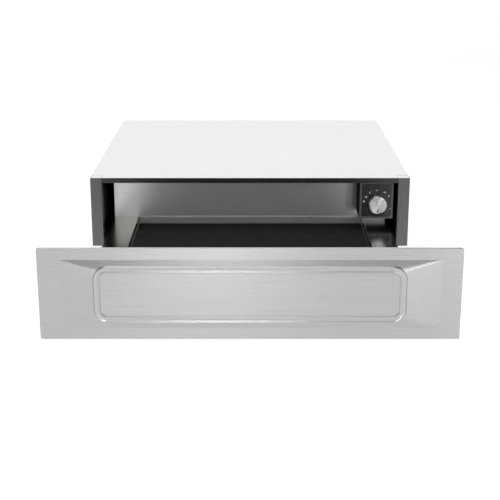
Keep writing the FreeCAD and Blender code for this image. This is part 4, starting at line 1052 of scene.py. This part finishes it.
@dataclass
class HousingFrame:
    """The sheet case and the dark frame round its mouth."""

    sheet_round: float = 0.3
    moulding_round: float = 0.5
    tab_gap: float = 1.1
    tab_sink: float = 0.2
    tab_sheet: float = 1.0

    def make(self) -> None:
        """Builds the frame and the case."""
        for side in ("left", "right"):
            self.press(f"front_post_{side}")
            self.press(f"side_wall_{side}")
            self.cap_post(side)
        # The rail takes the darker copy of the post steel: painted shade.
        self.press("front_top_rail", SHADED_RAIL_STEEL)
        for node in ("top_cover", "rear_cover", "floor_pan"):
            self.press(node)
        for node in ("cord_gland", "feet"):
            soft_copy(node, f"{node}_moulded", self.moulding_round)

    def press(self, node: str, finish: Finish | None = None) -> None:
        """Copies a sheet piece, and paints light on the top of a dark one with the pale zinc
        finish.

        Args:
            node: The CAD node.
            finish: Its finish, or None for its slot's own.
        """
        piece = soft_copy(node, f"{node}_pressed", self.sheet_round, finish)
        # A dark piece's upward faces get painted light in the pale zinc finish.
        if slot_of(node) == "dark_steel":
            self.paint_lit_top(piece)

    def cap_post(self, side: str) -> None:
        """Closes a post's open top with its folded tab.

        Args:
            side: Left or right.
        """
        low, high = box_of(f"front_post_{side}")
        inside = Vector((self.tab_gap, self.tab_gap, 0))
        top = high.z - self.tab_sink
        tab = Workpiece.block(f"post_tab_{side}",
                              tuple(low + inside)[:2] + (top - self.tab_sheet,),
                              tuple(high - inside)[:2] + (top,))
        tab.soften(self.sheet_round)
        # The tab's upward face gets painted light in the pale zinc finish.
        self.paint_lit_top(tab.mount("housing", "dark_steel", POST_STEEL))

    def paint_lit_top(self, piece: Object) -> None:
        """Gives the upper faces of a dark piece the pale zinc finish: painted light on the
        tops, where the light falls.
        """
        piece.data.materials.append(material_of(SLOT_FINISH["galvanised_steel"]))
        for face in piece.data.polygons:
            face.material_index = 1 if face.normal.z > ALONG else 0


class Sign(Enum):
    """A plain printed sign beside the knob, by its shape."""

    DROP = "drop"
    BOWL = "bowl"
    BAR = "bar"
    RING = "ring"
    OVAL = "oval"
    DOT = "dot"


@dataclass
class ControlUnit:
    """The black fascia with its printed signs, the grey frame round it and the knob.
    A sign's own sizes are shares of its half width."""

    axis: Pair = KNOB_AXIS
    fascia_round: float = 0.2
    bezel_round: float = 0.35
    knob_radius: float = 15.5
    knob_front: float = -279.3
    knob_back: float = -268.4
    knob_sides: int = 96
    rim_round: float = 1.2
    rim_steps: int = 5
    land: float = 1.4
    groove: float = 0.3
    dish: tuple[Pair, ...] = ((3.0, -0.12), (4.0, -0.1))
    hollow: Pair = (0.2, -2.0)
    pointer_radius: float = 1.5
    pointer_reach: float = 10.3
    pointer_back: float = 0.06
    pointer_depth: float = 0.1
    pointer_round: float = 0.03
    ring_radius: float = 24.3
    print_depth: float = 0.06
    print_sides: int = 24
    print_shade: float = 30
    drop_top: float = 0.95
    drop_tip: float = 0.8
    bar_shape: Point = (0.4, 1, 1.1)
    oval_shape: Point = (1, 1, 0.6)
    ring_width: float = 0.35
    signs: tuple[tuple[Sign, float, float], ...] = (
        (Sign.DROP, 170, 1.6), (Sign.BOWL, 146, 2.4), (Sign.BAR, 124, 1.9),
        (Sign.RING, 94, 1.5), (Sign.OVAL, 59, 2.1), (Sign.RING, 35, 1.5),
        (Sign.DOT, -21, 0.8))

    def make(self) -> None:
        """Builds the panel, its signs and the knob."""
        soft_copy("control_fascia", "control_fascia_moulded", self.fascia_round)
        soft_copy("control_bezel", "control_bezel_moulded", self.bezel_round)
        for number, (sign, angle, size) in enumerate(self.signs, 1):
            self.print_sign(number, sign, angle, size)
        self.turn_knob()
        self.fill_pointer()

    def turn_knob(self) -> None:
        """Builds the knob: a round rim, a flat land, a groove and a faintly dished face."""
        middle = (self.axis[0], (self.knob_front + self.knob_back) / 2, self.axis[1])
        knob = Workpiece.front_disc("knob_turned", middle, self.knob_radius,
                                    self.knob_back - self.knob_front, self.knob_sides)
        knob.pick(Pick.EDGES, lambda place, way: (
            place.y < self.knob_front + TOUCH and abs(way.y) < ACROSS))
        knob.round_off(self.rim_round, self.rim_steps)
        knob.pick(Pick.FACES, lambda place, normal: (
            normal.y < -ALONG and place.y < self.knob_front + TOUCH
            and math.hypot(place.x - self.axis[0], place.z - self.axis[1]) < NEAR))
        knob.inset(self.land).inset(self.groove, -self.groove).inset(self.groove, self.groove)
        for inward, out in self.dish:
            knob.inset(inward, out)
        knob.pick(Pick.FACES, lambda place, normal: normal.y > ALONG)
        knob.inset(self.rim_round).inset(*self.hollow)
        knob.smooth().flatten_shading().mount("knob_body", "turned_aluminium", None, "knob")

    def fill_pointer(self) -> None:
        """Builds the painted dot that points to a setting."""
        place = (self.axis[0], self.knob_front + self.pointer_back,
                 self.axis[1] - self.pointer_reach)
        dot = Workpiece.front_disc("knob_pointer", place, self.pointer_radius,
                                   self.pointer_depth, self.print_sides)
        dot.soften(self.pointer_round).mount("knob_body", "fascia_black", POINTER_INK)

    def print_sign(self, number: int, sign: Sign, angle: float, size: float) -> None:
        """Prints one sign on the fascia.

        Args:
            number: Its number round the knob.
            sign: Its shape.
            angle: Where it stands, in degrees from the right.
            size: Its half width.
        """
        face = box_of("control_fascia")[0].y
        turn = math.radians(angle)
        centre = (self.axis[0] + self.ring_radius * math.cos(turn),
                  face - self.print_depth / 2, self.axis[1] + self.ring_radius * math.sin(turn))
        ink = Workpiece.front_disc(f"fascia_sign_{number}_{sign.value}", centre, size,
                                   self.print_depth, self.print_sides)
        if sign is Sign.DROP:
            ink.pick(Pick.POINTS, lambda place, normal: (
                place.z > centre[2] + size * self.drop_top))
            ink.move((0, 0, size * self.drop_tip))
        elif sign is Sign.BOWL:
            ink.everything()
            ops.mesh.bisect(plane_co=Vector(centre) * MM, plane_no=(0, 0, 1),
                                clear_outer=True, use_fill=True)
        elif sign in (Sign.BAR, Sign.OVAL):
            ink.everything()
            ink.resize(self.bar_shape if sign is Sign.BAR else self.oval_shape, centre)
        elif sign is Sign.RING:
            ink.pick(Pick.FACES, lambda place, normal: abs(normal.y) > ALONG)
            ink.inset(size * self.ring_width)
            ops.mesh.bridge_edge_loops()
        ink.smooth(self.print_shade).mount("housing", "white_plastic", SIGN_INK)


@dataclass
class HiddenParts:
    """The pieces that keep their CAD shape and only get their finish."""

    def make(self) -> None:
        """Dresses each CAD node with the finish of its slot."""
        for name, node in sorted(frame["nodes"].items()):
            slots, finish = node.data.materials, SLOT_FINISH[slot_of(name)]
            if not slots:
                slots.append(material_of(finish))
            for index in range(len(slots)):
                slots[index] = material_of(finish)
            LOG.info("%s: %s", name, finish.name)


@dataclass(frozen=True)
class Lamp:
    """A soft rectangular lamp: its place, what it faces, its size and its watts."""

    name: str
    place: Point
    target: Point
    size: Pair
    power: float

    def hang(self) -> None:
        """Hangs the lamp so that it faces its target."""
        lay_tools_down()
        way = Vector(self.target) - Vector(self.place)
        ops.object.light_add(type="AREA", location=Vector(self.place) * MM,
                             rotation=way.to_track_quat("-Z", "Y").to_euler())
        lamp = bpy.context.object
        lamp.name = self.name
        lamp.data.shape = "RECTANGLE"
        lamp.data.size, lamp.data.size_y = (side * MM for side in self.size)
        lamp.data.energy = self.power


@dataclass
class Studio:
    """The pale paper sweep, the soft lamps, the even surroundings and the camera."""

    eye: Point = (0.0, -2185.0, 581.0)
    pitch: float = 17.13
    lens: float = 80.71
    floor_level: float = -13.0
    sweep_half: float = 12000.0
    sweep_back: float = 3600.0
    sweep_height: float = 3600.0
    sweep_round: float = 900.0
    sweep_steps: int = 12
    sweep_upright: float = 0.5
    horizon: Pair = (0.03, 0.11)
    world_light: float = 0.28
    lamps: tuple[Lamp, ...] = (
        Lamp("lamp_top", (-300, -1150, 2600), (0, -700, 0), (2400, 600), 28.0),
        Lamp("lamp_back", (0, 2300, 2900), (0, 1900, 0), (4000, 1400), 18.0),
        Lamp("lamp_low", (-120, -2900, 40), (0, -500, 60), (400, 160), 3.2),
        Lamp("lamp_high", (0, -2900, 980), (0, -500, 60), (1000, 1100), 1.25),
        Lamp("lamp_spot", (-60, -2900, 680), (0, -500, 60), (200, 200), 0.3),
        Lamp("lamp_left", (-900, -2900, 90), (0, -500, 60), (140, 200), 0.6),
        Lamp("lamp_right", (890, -2900, 90), (0, -500, 60), (260, 200), 2.2),
        Lamp("lamp_side_left", (-2000, -2100, 620), (-300, -700, 50), (1400, 1100), 3.0),
        Lamp("lamp_side_right", (2000, -2100, 620), (300, -700, 50), (1400, 1100), 4.6))

    def make(self) -> None:
        """Sets the scene up."""
        self.place_camera()
        self.lay_sweep()
        self.light_world()
        for lamp in self.lamps:
            lamp.hang()

    def place_camera(self) -> None:
        """Puts the camera in front of the open drawer, looking a little down."""
        bpy.context.scene.view_settings.view_transform = "Standard"
        lay_tools_down()
        ops.object.camera_add(location=Vector(self.eye) * MM,
                                  rotation=(math.radians(90 - self.pitch), 0, 0))
        camera = bpy.context.object
        camera.data.lens = self.lens
        camera.data.sensor_fit = "HORIZONTAL"
        camera.data.clip_end = 100
        bpy.context.scene.camera = camera

    def lay_sweep(self) -> None:
        """Lays the background paper under the feet and curves it up behind."""
        paper = Workpiece.added(
            "paper_sweep", "plane", size=2 * self.sweep_half * MM,
            location=(0, (self.sweep_back - self.sweep_half) * MM, self.floor_level * MM))
        paper.pick(Pick.EDGES, lambda place, way: place.y > self.sweep_back - TOUCH)
        paper.extrude((0, 0, self.sweep_height))
        paper.pick(Pick.EDGES, lambda place, way: (
            place.y > self.sweep_back - TOUCH and place.z < 0 and abs(way.x) > ALONG))
        paper.round_off(self.sweep_round, self.sweep_steps)
        paper.smooth()
        for finish in (FLOOR_PAPER, BACK_PAPER):
            paper.piece.data.materials.append(material_of(finish))
        for face in paper.piece.data.polygons:
            face.material_index = 1 if face.normal.y < -self.sweep_upright else 0

    def light_world(self) -> None:
        """Makes the surroundings: a white horizon and an even grey light above it."""
        world = bpy.data.worlds.new("studio_surroundings")
        bpy.context.scene.world = world
        world.use_nodes = True
        tree = world.node_tree
        tree.nodes.clear()
        way = add_node(tree, "TexCoord").outputs["Generated"]
        height = add_node(tree, "SeparateXYZ", {"Vector": way})
        fade = add_node(tree, "MapRange", {
            "Value": height.outputs["Z"], "From Min": self.horizon[0],
            "From Max": self.horizon[1], "To Min": 1.0, "To Max": self.world_light})
        even = add_node(tree, "Background", {
            "Color": linear("#ffffff"), "Strength": fade.outputs[0]})
        add_node(tree, "OutputWorld", {"Surface": even.outputs[0]})


def main() -> None:
    """Builds the drawer's looks in order."""
    logging.basicConfig(level=logging.INFO, format="%(name)s: %(message)s")
    for assembly in (Studio(), HiddenParts(), PressedFront(), DrawerBox(), HousingFrame(),
                     ControlUnit()):
        LOG.info("building %s", type(assembly).__name__)
        assembly.make()
    lay_tools_down()


if __name__ == "__main__":
    main()
